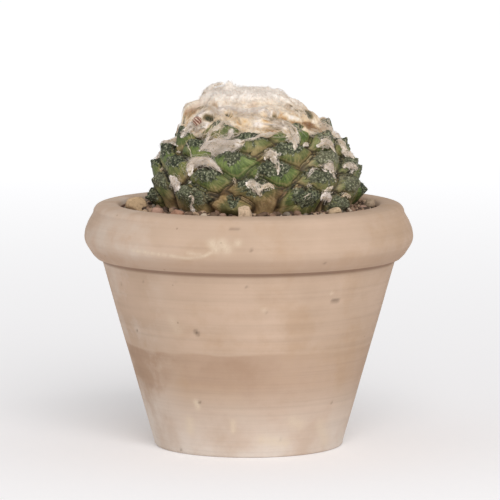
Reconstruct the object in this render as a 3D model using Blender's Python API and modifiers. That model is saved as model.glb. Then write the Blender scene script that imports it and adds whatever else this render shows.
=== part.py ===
"""Potted ariocarpus: a woolly-crowned living-rock cactus standing in a tapered clay pot.

The object stands on its base at z = 0, with the pot's axis on z, and is seen from -Y.
Sizes below are millimetres; MM turns them to metres where the geometry is made.
"""

import math
import random

import bmesh
import bpy
from mathutils import Euler, Matrix, Vector, noise

MM = 0.001
CLEARANCE = 0.3          # running gap between pieces that rest on each other

# Clay pot
POT_HEIGHT = 111.0
RIM_RADIUS = 75.0        # widest point of the rolled rim
RIM_WAIST_Z = 95.5       # height of that widest point
LIP_INNER_RADIUS = 59.8
THROAT_Z = 88.0          # above this the inside stops widening
SHOULDER_Z = 84.5        # where the body comes out from under the rim
SHOULDER_RADIUS = 66.6
FOOT_RADIUS = 43.0
WALL = 8.8
FLOOR = 9.0
DRAIN_RADIUS = 7.0
POT_SIDES = 48

# Substrate, from the drain hole up
CROCK_RADIUS = 13.6
CROCK_RISE = 8.0
SOIL_TOP_Z = 104.0
GRAVEL_SEAT_Z = 109.0    # gravel level where the lowest tubercles rest on it
GRAVEL_SEAT_RADIUS = 48.0
GRAVEL_EDGE_Z = 106.8    # gravel level against the pot wall
GRAVEL_SIDES = 72
GRIT_ROWS = 4            # rows of chips across the ring
GRIT_JOLT = 0.7          # how far a chip's corner lies out of its row, and above or below it
GRIT_RELIEF = 1.3

STONE_STANDS_OUT = 0.42  # height of a stone's middle over the bed, as a share of its half height

# Loose stones: (x, y, half sizes, turn in degrees, seed), x and y from the pot's axis
STONES = ((-51.0, -9.5, (5.0, 4.4, 4.2), 20, 3), (-41.0, -35.0, (3.3, 2.8, 3.1), 60, 8),
          (-32.0, -44.5, (4.0, 2.9, 2.8), -15, 11), (-1.7, -53.2, (3.3, 2.6, 4.8), 10, 5),
          (38.5, -38.8, (3.2, 2.8, 2.5), 35, 21), (55.0, -6.0, (2.7, 3.2, 2.6), 10, 17),
          (-43.5, 33.0, (3.8, 3.2, 3.0), 45, 29), (29.0, 47.5, (3.6, 2.8, 2.9), -30, 34))

# Plant
PLANT_X = 3.5            # the plant stands a little right of the pot's axis
STEM_SIDES = 28
NECK_RADIUS = 38.0
ROOT_TIP_Z = 45.0
TUBERCLES = 64
FIRST_SHOWN = 14         # the younger ones are buds, lost in the wool
TURN_DEG = 64.46         # divergence from one tubercle to the next: 5, 6 and 11 spirals
FIRST_DEG = 13.9
CROWD_DEG = 5.0          # the front spirals stand a little wider than the back ones
CROWD_PHASE_DEG = -47.8
YOUNG_AREA = 158.0       # dome surface taken by the youngest and the oldest tubercles, mm2
OLD_AREA = 286.4
AREA_STEPS = 22.0
AXIS_LIFT_DEG = 6.0      # how far a tubercle points above the dome's own normal
FURROW = 1.1
WART = 1.15
NOSE_HEIGHT = 12.5       # from core to nose of a full-grown tubercle
STEM_TOP_Z = 148.5
STEM_INSET = (9.2, 12.4) # how deep the stem lies under the noses, at the top and at the belt
PLANT_SHARE = 0.9        # share of the fused plant's triangles that is kept

# Dome through the tubercle noses: (radius from the plant's axis, height)
DOME = ((0, 157.5), (10, 156.5), (20, 154), (28, 151), (34, 147),
        (39.5, 141), (46.3, 132), (50, 121.5), (49.5, 113), (46, 106))

# Lines of one full-grown tubercle from nose to buried base:
# (height above the core, half width, reach upward, reach downward)
LINES = ((12.5, 0, 0, 0), (12.0, 4.8, 2.4, 1.9), (10.2, 8.0, 4.6, 4.2), (7.4, 11.8, 7.2, 7.4),
         (3.6, 17.5, 10.4, 11.4), (-1.5, 23.5, 12.6, 15.2), (-5.0, 13.0, 6.0, 8.0), (-6.0, 0, 0, 0))
TUBERCLE_SIDES = 14

# Wool
WOOL_RADIUS = 38.0       # reach of the matted skirt
WOOL_DEPTH = 6.0         # how far it goes down between the noses
WOOL_CORE_DEPTH = 10.0   # and over the growing point
SKIRT_LOFT = 1.4         # how far it stands above them
LUMP = 7.4               # spacing of its lumps
MOUND_X = -4.5           # the fluffy mound stands left of the plant's axis
MOUND_RADIUS = 21.5
MOUND_SLOPE = 1.8        # the smaller, the steeper its sides
MOUND_TOP_Z = 163.6
WOOL_CLEARANCE = 0.8     # swelling of the plant that the wool is cut by
TUFT_FIRST = 27          # younger tubercles have theirs in the crown wool
TUFT_LAST = 56           # the oldest ones have shed theirs
WOOL_SHARE = 0.45        # share of the cut wool's triangles that is kept

TUFT_AT = (5.2, 10.2)    # a tuft's middle on its tubercle: up the face, and out from the core
TUFT_TILT_DEG = -42      # it lies along the face

# Half sizes of the tufts that stand out, by tubercle number: across, along the face, thick
LARGE_TUFTS = {33: (9.5, 4.4, 2.8), 44: (6.0, 4.8, 2.8), 39: (4.0, 6.0, 2.8), 50: (5.0, 4.4, 2.8),
               45: (5.4, 4.8, 2.6), 34: (5.0, 4.6, 2.6)}

# Dried flower: centre, half sizes, turn about the view line in degrees
FLOWER_AT = (-23.3, -15.5, 149.6)
FLOWER_HALF = (3.4, 2.2, 2.0)
FLOWER_TURN = 28


def clear_scene():
    for old in list(bpy.data.objects):
        bpy.data.objects.remove(old, do_unlink=True)


def collection(name):
    made = bpy.data.collections.new(name)
    bpy.context.scene.collection.children.link(made)
    return made


def material(name, colour, roughness):
    made = bpy.data.materials.new(name)
    made.use_nodes = True
    shader = made.node_tree.nodes["Principled BSDF"]
    shader.inputs["Base Color"].default_value = (*colour, 1.0)
    shader.inputs["Roughness"].default_value = roughness
    return made


def add_mesh(name, mesh, place_in, finish, smooth_deg=40):
    made = bpy.data.objects.new(name, mesh)
    place_in.objects.link(made)
    mesh.materials.clear()
    mesh.materials.append(finish)
    mesh.shade_smooth()
    mesh.set_sharp_from_angle(angle=math.radians(smooth_deg))
    return made


def grown_mesh(name, bm, grow):
    """Turn a bmesh in mm into a mesh in metres, swollen by grow along its normals."""
    bm.normal_update()
    moved = [(vertex, (vertex.co + vertex.normal * grow) * MM) for vertex in bm.verts]
    for vertex, place in moved:
        vertex.co = place
    mesh = bpy.data.meshes.new(name)
    bm.to_mesh(mesh)
    bm.free()
    return mesh


def turned(name, outline, sides, place_in, finish):
    """Outline points (radius, height) in mm, run down the outer side and spun round z."""
    mesh = bpy.data.meshes.new(name)
    points = [(r * MM, 0, z * MM) for r, z in outline]
    on_axis = outline[0][0] == 0 and outline[-1][0] == 0
    edges = [(i, i + 1) for i in range(len(points) - 1)]
    if not on_axis:
        edges.append((len(points) - 1, 0))
    mesh.from_pydata(points, edges, [])
    made = add_mesh(name, mesh, place_in, finish)
    spin = made.modifiers.new("spin", "SCREW")
    spin.steps = sides
    spin.render_steps = sides
    spin.use_merge_vertices = True
    spin.merge_threshold = 0.00001
    spin.use_smooth_shade = True
    return made


def inner_wall(z):
    """Radius of the pot's inside at height z."""
    slope = (SHOULDER_RADIUS - FOOT_RADIUS) / SHOULDER_Z
    return min(FOOT_RADIUS + slope * z - WALL, LIP_INNER_RADIUS - 1.1)


def baked(source):
    """The evaluated mesh of an object, as plain data."""
    graph = bpy.context.evaluated_depsgraph_get()
    return bpy.data.meshes.new_from_object(source.evaluated_get(graph))


def cut_by(target, cutter):
    """Take cutter out of target and keep the largest body that is left."""
    cut = target.modifiers.new("cut", "BOOLEAN")
    cut.operation = "DIFFERENCE"
    cut.solver = "MANIFOLD"
    cut.object = cutter
    mesh = baked(target)
    target.modifiers.remove(cut)
    target.data = keep_largest(mesh)


def join_all(target, scratch):
    """Fuse every object of the scratch collection into target, and drop them."""
    join = target.modifiers.new("join", "BOOLEAN")
    join.operation = "UNION"
    join.solver = "MANIFOLD"
    join.operand_type = "COLLECTION"
    join.collection = scratch
    bpy.context.view_layer.update()
    mesh = baked(target)
    for body in list(scratch.objects):
        bpy.data.objects.remove(body, do_unlink=True)
    target.modifiers.clear()
    target.data = keep_largest(mesh)


def thinned(target, share):
    """Collapse the slivers that a Boolean leaves, down to a share of the triangles."""
    fewer = target.modifiers.new("thin", "DECIMATE")
    fewer.decimate_type = "COLLAPSE"
    fewer.ratio = share
    mesh = baked(target)
    target.modifiers.remove(fewer)
    target.data = keep_largest(mesh)


def keep_largest(mesh):
    """Leave the largest body of a mesh; bodies that only touch along an edge count as two."""
    bm = bmesh.new()
    bm.from_mesh(mesh)
    bmesh.ops.triangulate(bm, faces=bm.faces)
    seen, groups = set(), []
    for face in bm.faces:
        if face in seen:
            continue
        group, queue = [], [face]
        seen.add(face)
        while queue:
            here = queue.pop()
            group.append(here)
            for edge in here.edges:
                for near in edge.link_faces:
                    if near not in seen and len(edge.link_faces) == 2:
                        seen.add(near)
                        queue.append(near)
        groups.append(group)
    groups.sort(key=lambda g: sum(f.calc_area() for f in g), reverse=True)
    scraps = [face for group in groups[1:] for face in group]
    bmesh.ops.delete(bm, geom=scraps, context="FACES")
    bm.to_mesh(mesh)
    bm.free()
    return mesh


def make_pot(place_in, finish):
    """Rolled rim, tapered body and flat foot with a drain hole, all one fired piece."""
    outline = [(LIP_INNER_RADIUS, 110.3), (62.0, POT_HEIGHT), (66.0, 110.9), (69.2, 110.0)]
    outline += [(70.7, 108.2)]
    outline += [(71.2, 106.3), (73.2, 102.7), (74.6, 99.0)]
    outline += [(RIM_RADIUS, RIM_WAIST_Z), (74.4, 92.6), (72.5, 89.4), (70.7, 86.2), (69.2, SHOULDER_Z)]
    outline += [(SHOULDER_RADIUS, SHOULDER_Z - 0.4)]
    outline += [(FOOT_RADIUS + 0.2, 1.2), (FOOT_RADIUS - 1.0, 0.0)]
    outline += [(DRAIN_RADIUS, 0.0), (DRAIN_RADIUS, FLOOR)]
    outline += [(inner_wall(FLOOR) - 4.0, FLOOR), (inner_wall(13.0), 13.0)]
    outline += [(inner_wall(THROAT_Z), THROAT_Z), (inner_wall(108.4), 108.4)]
    return turned("terracotta_pot", outline, POT_SIDES, place_in, finish)


def make_crock(place_in, finish):
    """A shard of broken pot, curved side up over the drain hole, that keeps the soil in."""
    seat = FLOOR + CLEARANCE
    outline = [(0, seat + CROCK_RISE), (8.0, seat + 6.8), (CROCK_RADIUS, seat + 3.0)]
    outline += [(CROCK_RADIUS - 0.4, seat), (11.0, seat), (7.0, seat + 2.8), (0, seat + 3.6)]
    return turned("drainage_crock", outline, 9, place_in, finish)


def root_outline(grow):
    """Neck and turnip-shaped root below the dome, swollen by grow."""
    points = [(NECK_RADIUS, 112.0), (NECK_RADIUS, SOIL_TOP_Z - 1.0), (34.0, 97.0), (27.0, 87.0)]
    points += [(20.0, 75.0), (12.0, 61.0), (5.0, 50.0)]
    return [(r + grow, z) for r, z in points] + [(0, ROOT_TIP_Z - grow)]


def settled(made, shift):
    """Bake a turned piece and move each of its points by what shift(point) gives, in metres."""
    mesh = baked(made)
    for vertex in mesh.vertices:
        vertex.co += shift(vertex.co)
    made.modifiers.clear()
    made.data = mesh


def make_soil(place_in, finish):
    """Gritty substrate, with a plain hole for the root and a hollow over the crock."""
    gap = CLEARANCE
    hole = [(r, min(z, SOIL_TOP_Z)) for r, z in reversed(root_outline(gap)[1:])]
    crock_top = FLOOR + CLEARANCE + CROCK_RISE
    outline = hole
    outline += [(inner_wall(SOIL_TOP_Z) - gap, SOIL_TOP_Z), (inner_wall(THROAT_Z) - gap, THROAT_Z)]
    outline += [(inner_wall(13.0) - gap, 13.0 + gap), (inner_wall(FLOOR) - 4.0 - gap, FLOOR + gap)]
    outline += [(CROCK_RADIUS + gap, FLOOR + gap), (CROCK_RADIUS + gap, crock_top - 4.6)]
    outline += [(8.4, crock_top - 0.6), (0, crock_top + 0.5)]
    made = turned("soil", outline, STEM_SIDES, place_in, finish)

    # the root stands off the pot's axis, so the points round its hole move over with it
    def over(point):
        above_tip = point.z > (ROOT_TIP_Z - 1.0) * MM
        in_hole = above_tip and math.hypot(point.x, point.y) < (NECK_RADIUS + 3.0) * MM
        return Vector((PLANT_X * MM if in_hole else 0.0, 0.0, 0.0))

    settled(made, over)


def bed_height(x, y):
    """Gravel level: flat where the tubercles rest, falling away to the pot wall."""
    out = (math.hypot(x - PLANT_X, y) - GRAVEL_SEAT_RADIUS) / (LIP_INNER_RADIUS - GRAVEL_SEAT_RADIUS)
    return GRAVEL_SEAT_Z + (GRAVEL_EDGE_Z - GRAVEL_SEAT_Z) * min(1.0, max(0.0, out))


def make_gravel(place_in, finish):
    """Top dressing: a ring of angular grit between the plant's neck and the pot wall."""
    wall = inner_wall(SOIL_TOP_Z) * math.cos(math.pi / POT_SIDES) - CLEARANCE
    inner, base = NECK_RADIUS + CLEARANCE, SOIL_TOP_Z + CLEARANCE
    outline = [(inner, GRAVEL_SEAT_Z), (GRAVEL_SEAT_RADIUS, GRAVEL_SEAT_Z)]
    for row in range(1, GRIT_ROWS):
        share = row / GRIT_ROWS
        outline.append((GRAVEL_SEAT_RADIUS + (wall - GRAVEL_SEAT_RADIUS) * share, GRAVEL_SEAT_Z - 1.0))
    outline += [(wall, GRAVEL_EDGE_Z), (wall, base), (inner, base)]
    bed = turned("gravel_bed", outline, GRAVEL_SIDES, place_in, finish)
    draw = random.Random(41)

    # the inner points go with the plant; those between move part of the way, and up and
    # down by a draw, which breaks the surface into chips
    def heap(point):
        r = math.hypot(point.x, point.y) / MM
        out = max(0.0, (r - GRAVEL_SEAT_RADIUS) / (wall - GRAVEL_SEAT_RADIUS))
        across = PLANT_X * (1 - min(1.0, out))
        loose = 0.02 < out < 0.98
        if not loose:
            return Vector((across, 0.0, 0.0)) * MM
        drop = (GRAVEL_EDGE_Z - GRAVEL_SEAT_Z) * out + 1.0
        jolt = [draw.uniform(-reach, reach) for reach in (GRIT_JOLT, GRIT_JOLT, GRIT_RELIEF)]
        return Vector((across + jolt[0], jolt[1], drop + jolt[2])) * MM

    settled(bed, heap)
    return bed


def pebble_mesh(name, size, seed, grow):
    """An angular pebble: a sphere of few faces, squashed and chipped by a seeded draw."""
    bm = bmesh.new()
    bmesh.ops.create_icosphere(bm, subdivisions=2, radius=1.0)
    draw = random.Random(seed)
    chips = []
    for _ in range(7):
        direction = Vector((draw.gauss(0, 1), draw.gauss(0, 1), draw.gauss(0, 1))).normalized()
        chips.append((direction, draw.uniform(0.62, 0.85)))
    for vertex in bm.verts:
        spot = vertex.co.copy()
        for direction, reach in chips:
            beyond = spot.dot(direction) - reach
            if beyond > 0:
                spot -= direction * beyond * 0.92
        vertex.co = Vector((spot[i] * size[i] for i in range(3)))
    return grown_mesh(name, bm, grow)


def make_stones(place_in, cutters, finish, bed):
    """The larger pebbles lie loose on the bed, each in a hollow of its own shape."""
    for number, (x, y, size, turn, seed) in enumerate(STONES, 1):
        z = bed_height(x, y) + size[2] * STONE_STANDS_OUT
        place = Matrix.Translation((x * MM, y * MM, z * MM)) @ Matrix.Rotation(math.radians(turn), 4, "Z")
        name = f"stone_{number}"
        stone = add_mesh(name, pebble_mesh(name, size, seed, 0.0), place_in, finish, 25)
        stone.matrix_world = place
        swollen = pebble_mesh(name + "_hollow", size, seed, CLEARANCE)
        hollow = add_mesh(name + "_hollow", swollen, cutters, finish)
        hollow.matrix_world = place
        bpy.context.view_layer.update()
        cut_by(bed, hollow)


def dome_table():
    """Fine steps down the dome: (area from the top, radius, height, normal's elevation)."""
    rows, area = [], 0.0
    for (r0, z0), (r1, z1) in zip(DOME, DOME[1:]):
        steps = 60
        length = math.hypot(r1 - r0, z1 - z0) / steps
        for i in range(steps):
            share = (i + 0.5) / steps
            r = r0 + (r1 - r0) * share
            area += 2 * math.pi * r * length
            rows.append((area, r, z0 + (z1 - z0) * share, math.atan2(r1 - r0, z0 - z1)))
    return rows


def tubercle_places():
    """Where each tubercle's nose is: (number, azimuth, radius, height, elevation, scale)."""
    table = dome_table()
    area, places = 0.0, []
    draw = random.Random(7)
    for n in range(TUBERCLES):
        own = OLD_AREA - (OLD_AREA - YOUNG_AREA) * math.exp(-n / AREA_STEPS)
        middle = area + own / 2
        area += own
        row = next((row for row in table if row[0] >= middle), table[-1])
        near = [other[3] for other in table if abs(other[0] - row[0]) < 1500]
        lean = sum(near) / len(near)
        turn = FIRST_DEG + n * TURN_DEG
        turn += CROWD_DEG * math.sin(math.radians(turn - CROWD_PHASE_DEG))
        turn += draw.uniform(-1.5, 1.5)
        scale = math.sqrt(own / OLD_AREA) * draw.uniform(0.95, 1.05)
        places.append((n, math.radians(turn), row[1], row[2], lean, scale))
    return places[FIRST_SHOWN:]


def tubercle_frame(azimuth, radius, height, elevation, scale):
    """Local frame: x along the dome's level line, y up it, z out through the nose."""
    out = Vector((math.sin(azimuth), -math.cos(azimuth), 0.0))
    side = Vector((math.cos(azimuth), math.sin(azimuth), 0.0))
    tilt = elevation + math.radians(AXIS_LIFT_DEG)
    axis = out * math.cos(tilt) + Vector((0, 0, 1)) * math.sin(tilt)
    up = axis.cross(side)
    nose = Vector((PLANT_X, 0, height)) + out * radius
    origin = (nose - axis * NOSE_HEIGHT * scale) * MM
    turned_axes = Matrix((side, up, axis)).transposed().to_4x4()
    return Matrix.Translation(origin) @ turned_axes @ Matrix.Scale(scale, 4)


def tubercle_mesh(name, seed, grow):
    """A wide scale with a keeled belly below, a warty face above and a furrow down that face.

    It starts as a sphere whose poles become the nose and the middle of the buried base.
    """
    bm = bmesh.new()
    rings = len(LINES) - 1
    bmesh.ops.create_uvsphere(bm, u_segments=TUBERCLE_SIDES, v_segments=rings, radius=1.0)
    draw = random.Random(seed)
    for vertex in bm.verts:
        polar = math.acos(max(-1.0, min(1.0, vertex.co.z)))
        ring = round(polar / math.pi * rings)
        height, half_width, reach_up, reach_down = LINES[ring]
        angle = math.atan2(vertex.co.y, vertex.co.x)
        # the warty upper face gets more of the points than the belly
        angle += 0.35 * math.cos(angle) if ring not in (0, rings) else 0.0
        across, along = math.cos(angle), math.sin(angle)
        bend = 2 / (1.9 - 0.09 * ring)
        x = half_width * math.copysign(abs(across) ** bend, across)
        y = (reach_up if along > 0 else reach_down) * math.copysign(abs(along) ** bend, along)
        z = height
        warty = 0 < ring < 5 and along > -0.1
        if warty:
            raised = (ring + round(angle / (2 * math.pi) * TUBERCLE_SIDES)) % 2
            relief = WART * draw.uniform(0.6, 1.2) * (0.5 if ring == 1 else 1.0)
            z += relief * (0.9 if raised else -0.5)
            if abs(across) < 0.2 and along > 0:
                z -= FURROW
        vertex.co = Vector((x, y, z))
    return grown_mesh(name, bm, grow)


def core_outline(grow):
    """The stem that carries the tubercles: the dome drawn in by their height, and the root."""
    points = [(0, STEM_TOP_Z + grow)]
    belt = DOME[1:8]
    for number, (r, z) in enumerate(belt):
        lean = min(dome_table(), key=lambda row: abs(row[1] - r) + abs(row[2] - z))[3]
        inset = STEM_INSET[0] + (STEM_INSET[1] - STEM_INSET[0]) * number / (len(belt) - 1) - grow
        points.append((max(r - inset * math.cos(lean), 2.0), z - inset * math.sin(lean)))
    return points + root_outline(grow)


def make_plant(name, grow, place_in, finish, scratch):
    """Stem, root and all tubercles as one grown piece; grow swells it for the cutters."""
    stem = turned(name, core_outline(grow), STEM_SIDES, place_in, finish)
    stem.location.x = PLANT_X * MM
    for n, azimuth, radius, height, elevation, scale in tubercle_places():
        mesh = tubercle_mesh(f"{name}_tubercle_{n}", 100 + n, grow / scale)
        body = add_mesh(mesh.name, mesh, scratch, finish)
        body.matrix_world = tubercle_frame(azimuth, radius, height, elevation, scale)
    join_all(stem, scratch)
    return stem


def trim_under(plant, scratch, finish, floor_z):
    """Below the gravel level only the neck and the root go on down."""
    inner, outer, low = NECK_RADIUS + 0.01, RIM_RADIUS, SHOULDER_Z
    outline = [(inner, floor_z), (outer, floor_z), (outer, low), (inner, low)]
    ring = turned("under_trim", outline, POT_SIDES, scratch, finish)
    ring.location.x = PLANT_X * MM
    bpy.context.view_layer.update()
    cut_by(plant, ring)
    bpy.data.objects.remove(ring, do_unlink=True)


def dome_height(r):
    """Height of the dome through the noses, at radius r from the plant's axis."""
    for (r0, z0), (r1, z1) in zip(DOME, DOME[1:]):
        if r <= r1:
            return z0 + (z1 - z0) * (r - r0) / (r1 - r0)
    return DOME[-1][1]


def wool_height(x, y):
    """Top of the crown wool: a fluffy mound on a matted skirt that thins out to its edge."""
    from_mound = math.hypot(x - MOUND_X, y)
    mound = 1 / (1 + math.exp((from_mound - MOUND_RADIUS) / MOUND_SLOPE))
    share = math.hypot(x, y) / WOOL_RADIUS
    lump = noise.noise(Vector((x, y, 3.0)) / LUMP) + 0.6 * noise.noise(Vector((x, y, 9.0)) / LUMP * 2)
    skirt = dome_height(math.hypot(x, y)) + SKIRT_LOFT - 3 * SKIRT_LOFT * share ** 6
    return skirt + (MOUND_TOP_Z - skirt) * mound + lump * (1.6 + 1.2 * mound)


def crown_mesh(name, grow):
    """The crown wool as one lumpy closed body with a ragged edge, swollen by grow."""
    bm = bmesh.new()
    bmesh.ops.create_uvsphere(bm, u_segments=28, v_segments=14, radius=1.0)
    for vertex in bm.verts:
        azimuth = math.atan2(vertex.co.y, vertex.co.x)
        # the rings are spread evenly from the middle to the edge
        share = 1 - abs(math.asin(max(-1.0, min(1.0, vertex.co.z)))) / (math.pi / 2)
        around = Vector((math.cos(azimuth), math.sin(azimuth), 2.0))
        reach = WOOL_RADIUS * (1.0 + 0.16 * noise.noise(around * 1.9)) * share
        x, y = reach * math.cos(azimuth), reach * math.sin(azimuth)
        middle = max(0.0, 1 - (reach / MOUND_RADIUS) ** 2)
        depth = WOOL_DEPTH + (WOOL_CORE_DEPTH - WOOL_DEPTH) * middle
        z = wool_height(x, y) if vertex.co.z > -0.01 else dome_height(reach) - depth
        vertex.co = Vector((x + PLANT_X, y, z))
    return grown_mesh(name, bm, grow)


def make_crown_wool(place_in, cutters, finish, plant_cutter):
    """The felted wool over the growing point, lying on and between the upper noses."""
    wool = add_mesh("crown_wool", crown_mesh("crown_wool", 0.0), place_in, finish, 60)
    cut_by(wool, plant_cutter)
    # twice the clearance, since both the crown and the tufts are thinned after their cuts
    swollen = crown_mesh("swollen_crown", 2 * WOOL_CLEARANCE)
    return wool, add_mesh("swollen_crown", swollen, cutters, finish)


def flower_mesh(name, grow):
    """A shrivelled flower: a pointed bud pleated lengthwise."""
    bm = bmesh.new()
    bmesh.ops.create_uvsphere(bm, u_segments=12, v_segments=6, radius=1.0)
    bmesh.ops.rotate(bm, verts=bm.verts, matrix=Matrix.Rotation(math.pi / 2, 3, "Y"))
    for vertex in bm.verts:
        pleat = 1.0 + 0.13 * (-1) ** round(math.atan2(vertex.co.z, vertex.co.y) / (math.pi / 6))
        vertex.co = Vector((vertex.co.x * FLOWER_HALF[0], vertex.co.y * FLOWER_HALF[1] * pleat,
                            vertex.co.z * FLOWER_HALF[2] * pleat))
    return grown_mesh(name, bm, grow)


def make_flower(place_in, cutters, finish, plant_cutter, wool):
    """Last season's flower, dried up and caught in the wool."""
    place = Matrix.Translation(Vector(FLOWER_AT) * MM) @ Matrix.Rotation(math.radians(FLOWER_TURN), 4, "Y")
    flower = add_mesh("dried_flower", flower_mesh("dried_flower", 0.0), place_in, finish)
    flower.matrix_world = place
    nest = add_mesh("flower_nest", flower_mesh("flower_nest", CLEARANCE), cutters, finish)
    nest.matrix_world = place
    bpy.context.view_layer.update()
    cut_by(flower, plant_cutter)
    cut_by(wool, nest)


def make_tufts(place_in, finish, plant_cutter, crown_cutter):
    """A tuft of wool in the furrow of each older tubercle, lying on its warty face."""
    for n, azimuth, radius, height, elevation, scale in tubercle_places():
        if not TUFT_FIRST <= n <= TUFT_LAST:
            continue
        draw = random.Random(500 + n)
        bm = bmesh.new()
        bmesh.ops.create_uvsphere(bm, u_segments=6, v_segments=4, radius=1.0)
        half = (draw.uniform(2.8, 4.8), draw.uniform(3.6, 4.6), draw.uniform(1.9, 2.5))
        half = LARGE_TUFTS.get(n, half)
        lie = Matrix.Translation(Vector((draw.uniform(-1, 1), *TUFT_AT)) * MM)
        lie = lie @ Matrix.Rotation(math.radians(TUFT_TILT_DEG), 4, "X")
        lie = lie @ Matrix.Rotation(draw.uniform(-0.5, 0.5), 4, "Z")
        for vertex in bm.verts:
            bump = 1 + 0.16 * draw.uniform(-1, 1)
            vertex.co = Vector((vertex.co[i] * half[i] * bump for i in range(3)))
        name = f"wool_tuft_{n}"
        tuft = add_mesh(name, grown_mesh(name, bm, 0.0), place_in, finish, 60)
        tuft.matrix_world = tubercle_frame(azimuth, radius, height, elevation, scale) @ lie
        bpy.context.view_layer.update()
        cut_by(tuft, plant_cutter)
        cut_by(tuft, crown_cutter)
        thinned(tuft, WOOL_SHARE)


def main():
    clear_scene()
    model = collection("potted_ariocarpus")
    cutters = collection("cutters")
    scratch = collection("tubercle_bodies")

    clay = material("terracotta", (0.58, 0.42, 0.31), 0.9)
    earth = material("soil", (0.10, 0.07, 0.05), 1.0)
    pebbles = material("gravel", (0.50, 0.40, 0.31), 0.85)
    skin = material("green_skin", (0.10, 0.17, 0.06), 0.55)
    wool = material("wool", (0.78, 0.70, 0.58), 0.95)
    petal = material("dry_petal", (0.22, 0.10, 0.07), 0.8)

    make_pot(model, clay)
    make_crock(model, clay)
    make_soil(model, earth)

    plant = make_plant("ariocarpus_body", 0.0, model, skin, scratch)
    trim_under(plant, scratch, skin, GRAVEL_SEAT_Z + CLEARANCE)
    thinned(plant, PLANT_SHARE)
    swollen = make_plant("swollen_plant", WOOL_CLEARANCE, cutters, skin, scratch)

    bed = make_gravel(model, pebbles)
    make_stones(model, cutters, pebbles, bed)

    crown, swollen_crown = make_crown_wool(model, cutters, wool, swollen)
    make_flower(model, cutters, petal, swollen, crown)
    thinned(crown, WOOL_SHARE)
    make_tufts(model, wool, swollen, swollen_crown)

    for cutter in cutters.objects:
        cutter.hide_render = True
        cutter.display_type = "WIRE"
    bpy.data.collections.remove(scratch)


main()
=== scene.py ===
"""Looks of the potted ariocarpus: each piece in the order in which the pot is filled.

Lengths are in millimetres and turned to metres where a mesh is made. A pattern's scale is 1000
over the size in millimetres of what it draws.
"""

import math
import random
from functools import partial

import bmesh
import bpy
import numpy as np
from mathutils import Matrix, Vector, noise
from mathutils.bvhtree import BVHTree
from mathutils.kdtree import KDTree


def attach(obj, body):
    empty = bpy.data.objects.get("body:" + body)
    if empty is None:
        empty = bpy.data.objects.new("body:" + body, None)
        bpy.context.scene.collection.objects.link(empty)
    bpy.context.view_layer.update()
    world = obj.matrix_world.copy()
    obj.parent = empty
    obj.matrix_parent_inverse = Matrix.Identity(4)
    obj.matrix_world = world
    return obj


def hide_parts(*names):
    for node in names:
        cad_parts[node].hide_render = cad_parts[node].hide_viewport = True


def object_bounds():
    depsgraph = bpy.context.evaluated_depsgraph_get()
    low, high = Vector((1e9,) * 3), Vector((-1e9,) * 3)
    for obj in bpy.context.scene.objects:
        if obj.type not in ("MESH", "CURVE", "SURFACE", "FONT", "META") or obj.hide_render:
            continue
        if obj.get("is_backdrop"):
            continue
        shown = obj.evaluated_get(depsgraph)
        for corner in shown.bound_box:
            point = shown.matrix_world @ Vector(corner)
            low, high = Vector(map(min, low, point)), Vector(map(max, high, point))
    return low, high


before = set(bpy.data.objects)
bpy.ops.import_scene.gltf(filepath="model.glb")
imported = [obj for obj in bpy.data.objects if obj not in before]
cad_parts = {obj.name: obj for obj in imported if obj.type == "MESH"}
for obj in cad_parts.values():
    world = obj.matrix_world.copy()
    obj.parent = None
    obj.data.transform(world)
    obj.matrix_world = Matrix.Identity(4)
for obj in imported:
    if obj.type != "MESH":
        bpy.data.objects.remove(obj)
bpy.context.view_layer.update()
scene = bpy.context.scene
scene.view_settings.view_transform = "Standard"

# Camera
# The photograph was taken from 1.9 m with a long lens, a little above the rim and looking
# down at the pot by six and a half degrees.
MM = 0.001
EYE = np.array([0.6, -1900.0, 307.4])
TILT = math.radians(90 - 6.557)
FOCAL, SENSOR = 301.8, 36.0
lens = bpy.data.cameras.new("photo_lens")
lens.sensor_width = SENSOR
lens.lens = FOCAL
camera = bpy.data.objects.new("camera", lens)
camera.location = EYE * MM
camera.rotation_euler = (TILT, 0, 0)
scene.collection.objects.link(camera)
scene.camera = camera

# Studio floor and light
# A white sweep lit evenly from all round, with one large soft box above the camera, so the
# pot has hardly a shadow.
FLOOR_RADIUS = 9.0


def linear(code):
    """An sRGB hex value as linear colour."""
    parts = [int(code[i:i + 2], 16) / 255 for i in (0, 2, 4)]
    return [p / 12.92 if p <= 0.04045 else ((p + 0.055) / 1.055) ** 2.4 for p in parts] + [1.0]


def node(tree, kind, *values, out=0, stops=(), **named):
    """Add a shader node and give one of its outputs. Values fill its sockets from the first on,
    a name that is a socket's fills that one, and any other name is a setting."""
    made = tree.nodes.new("ShaderNode" + kind)
    sockets = {socket.identifier.replace(" ", "_"): socket for socket in made.inputs}
    wires = list(zip(made.inputs, values))
    for name, value in named.items():
        if name in sockets:
            wires.append((sockets[name], value))
        else:
            setattr(made, name, value)
    for socket, value in wires:
        if isinstance(value, bpy.types.NodeSocket):
            tree.links.new(value, socket)
        else:
            socket.default_value = linear(value) if isinstance(value, str) else value
    for number, (place, colour) in enumerate(stops):
        if number >= len(made.color_ramp.elements):
            made.color_ramp.elements.new(1.0)
        mark = made.color_ramp.elements[number]
        mark.position = place
        mark.color = linear(colour) if isinstance(colour, str) else (colour, colour, colour, 1)
    return made.outputs[out] if len(made.outputs) else made


def new_material(name):
    """An empty material, what adds a node to it, and the place on the object."""
    made = bpy.data.materials.new(name)
    made.use_nodes = True
    made.node_tree.nodes.clear()
    add = partial(node, made.node_tree)
    return made, add, add("TexCoord", out=3)


def coats(add, colour, *layers):
    """Colours over one another: each layer is a colour and the shares that, multiplied, let it show."""
    for tint, share, *others in layers:
        for other in others:
            share = add("Math", share, other, operation="MULTIPLY")
        colour = add("Mix", share, A_Color=colour, B_Color=tint, out=2, data_type="RGBA")
    return colour


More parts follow.
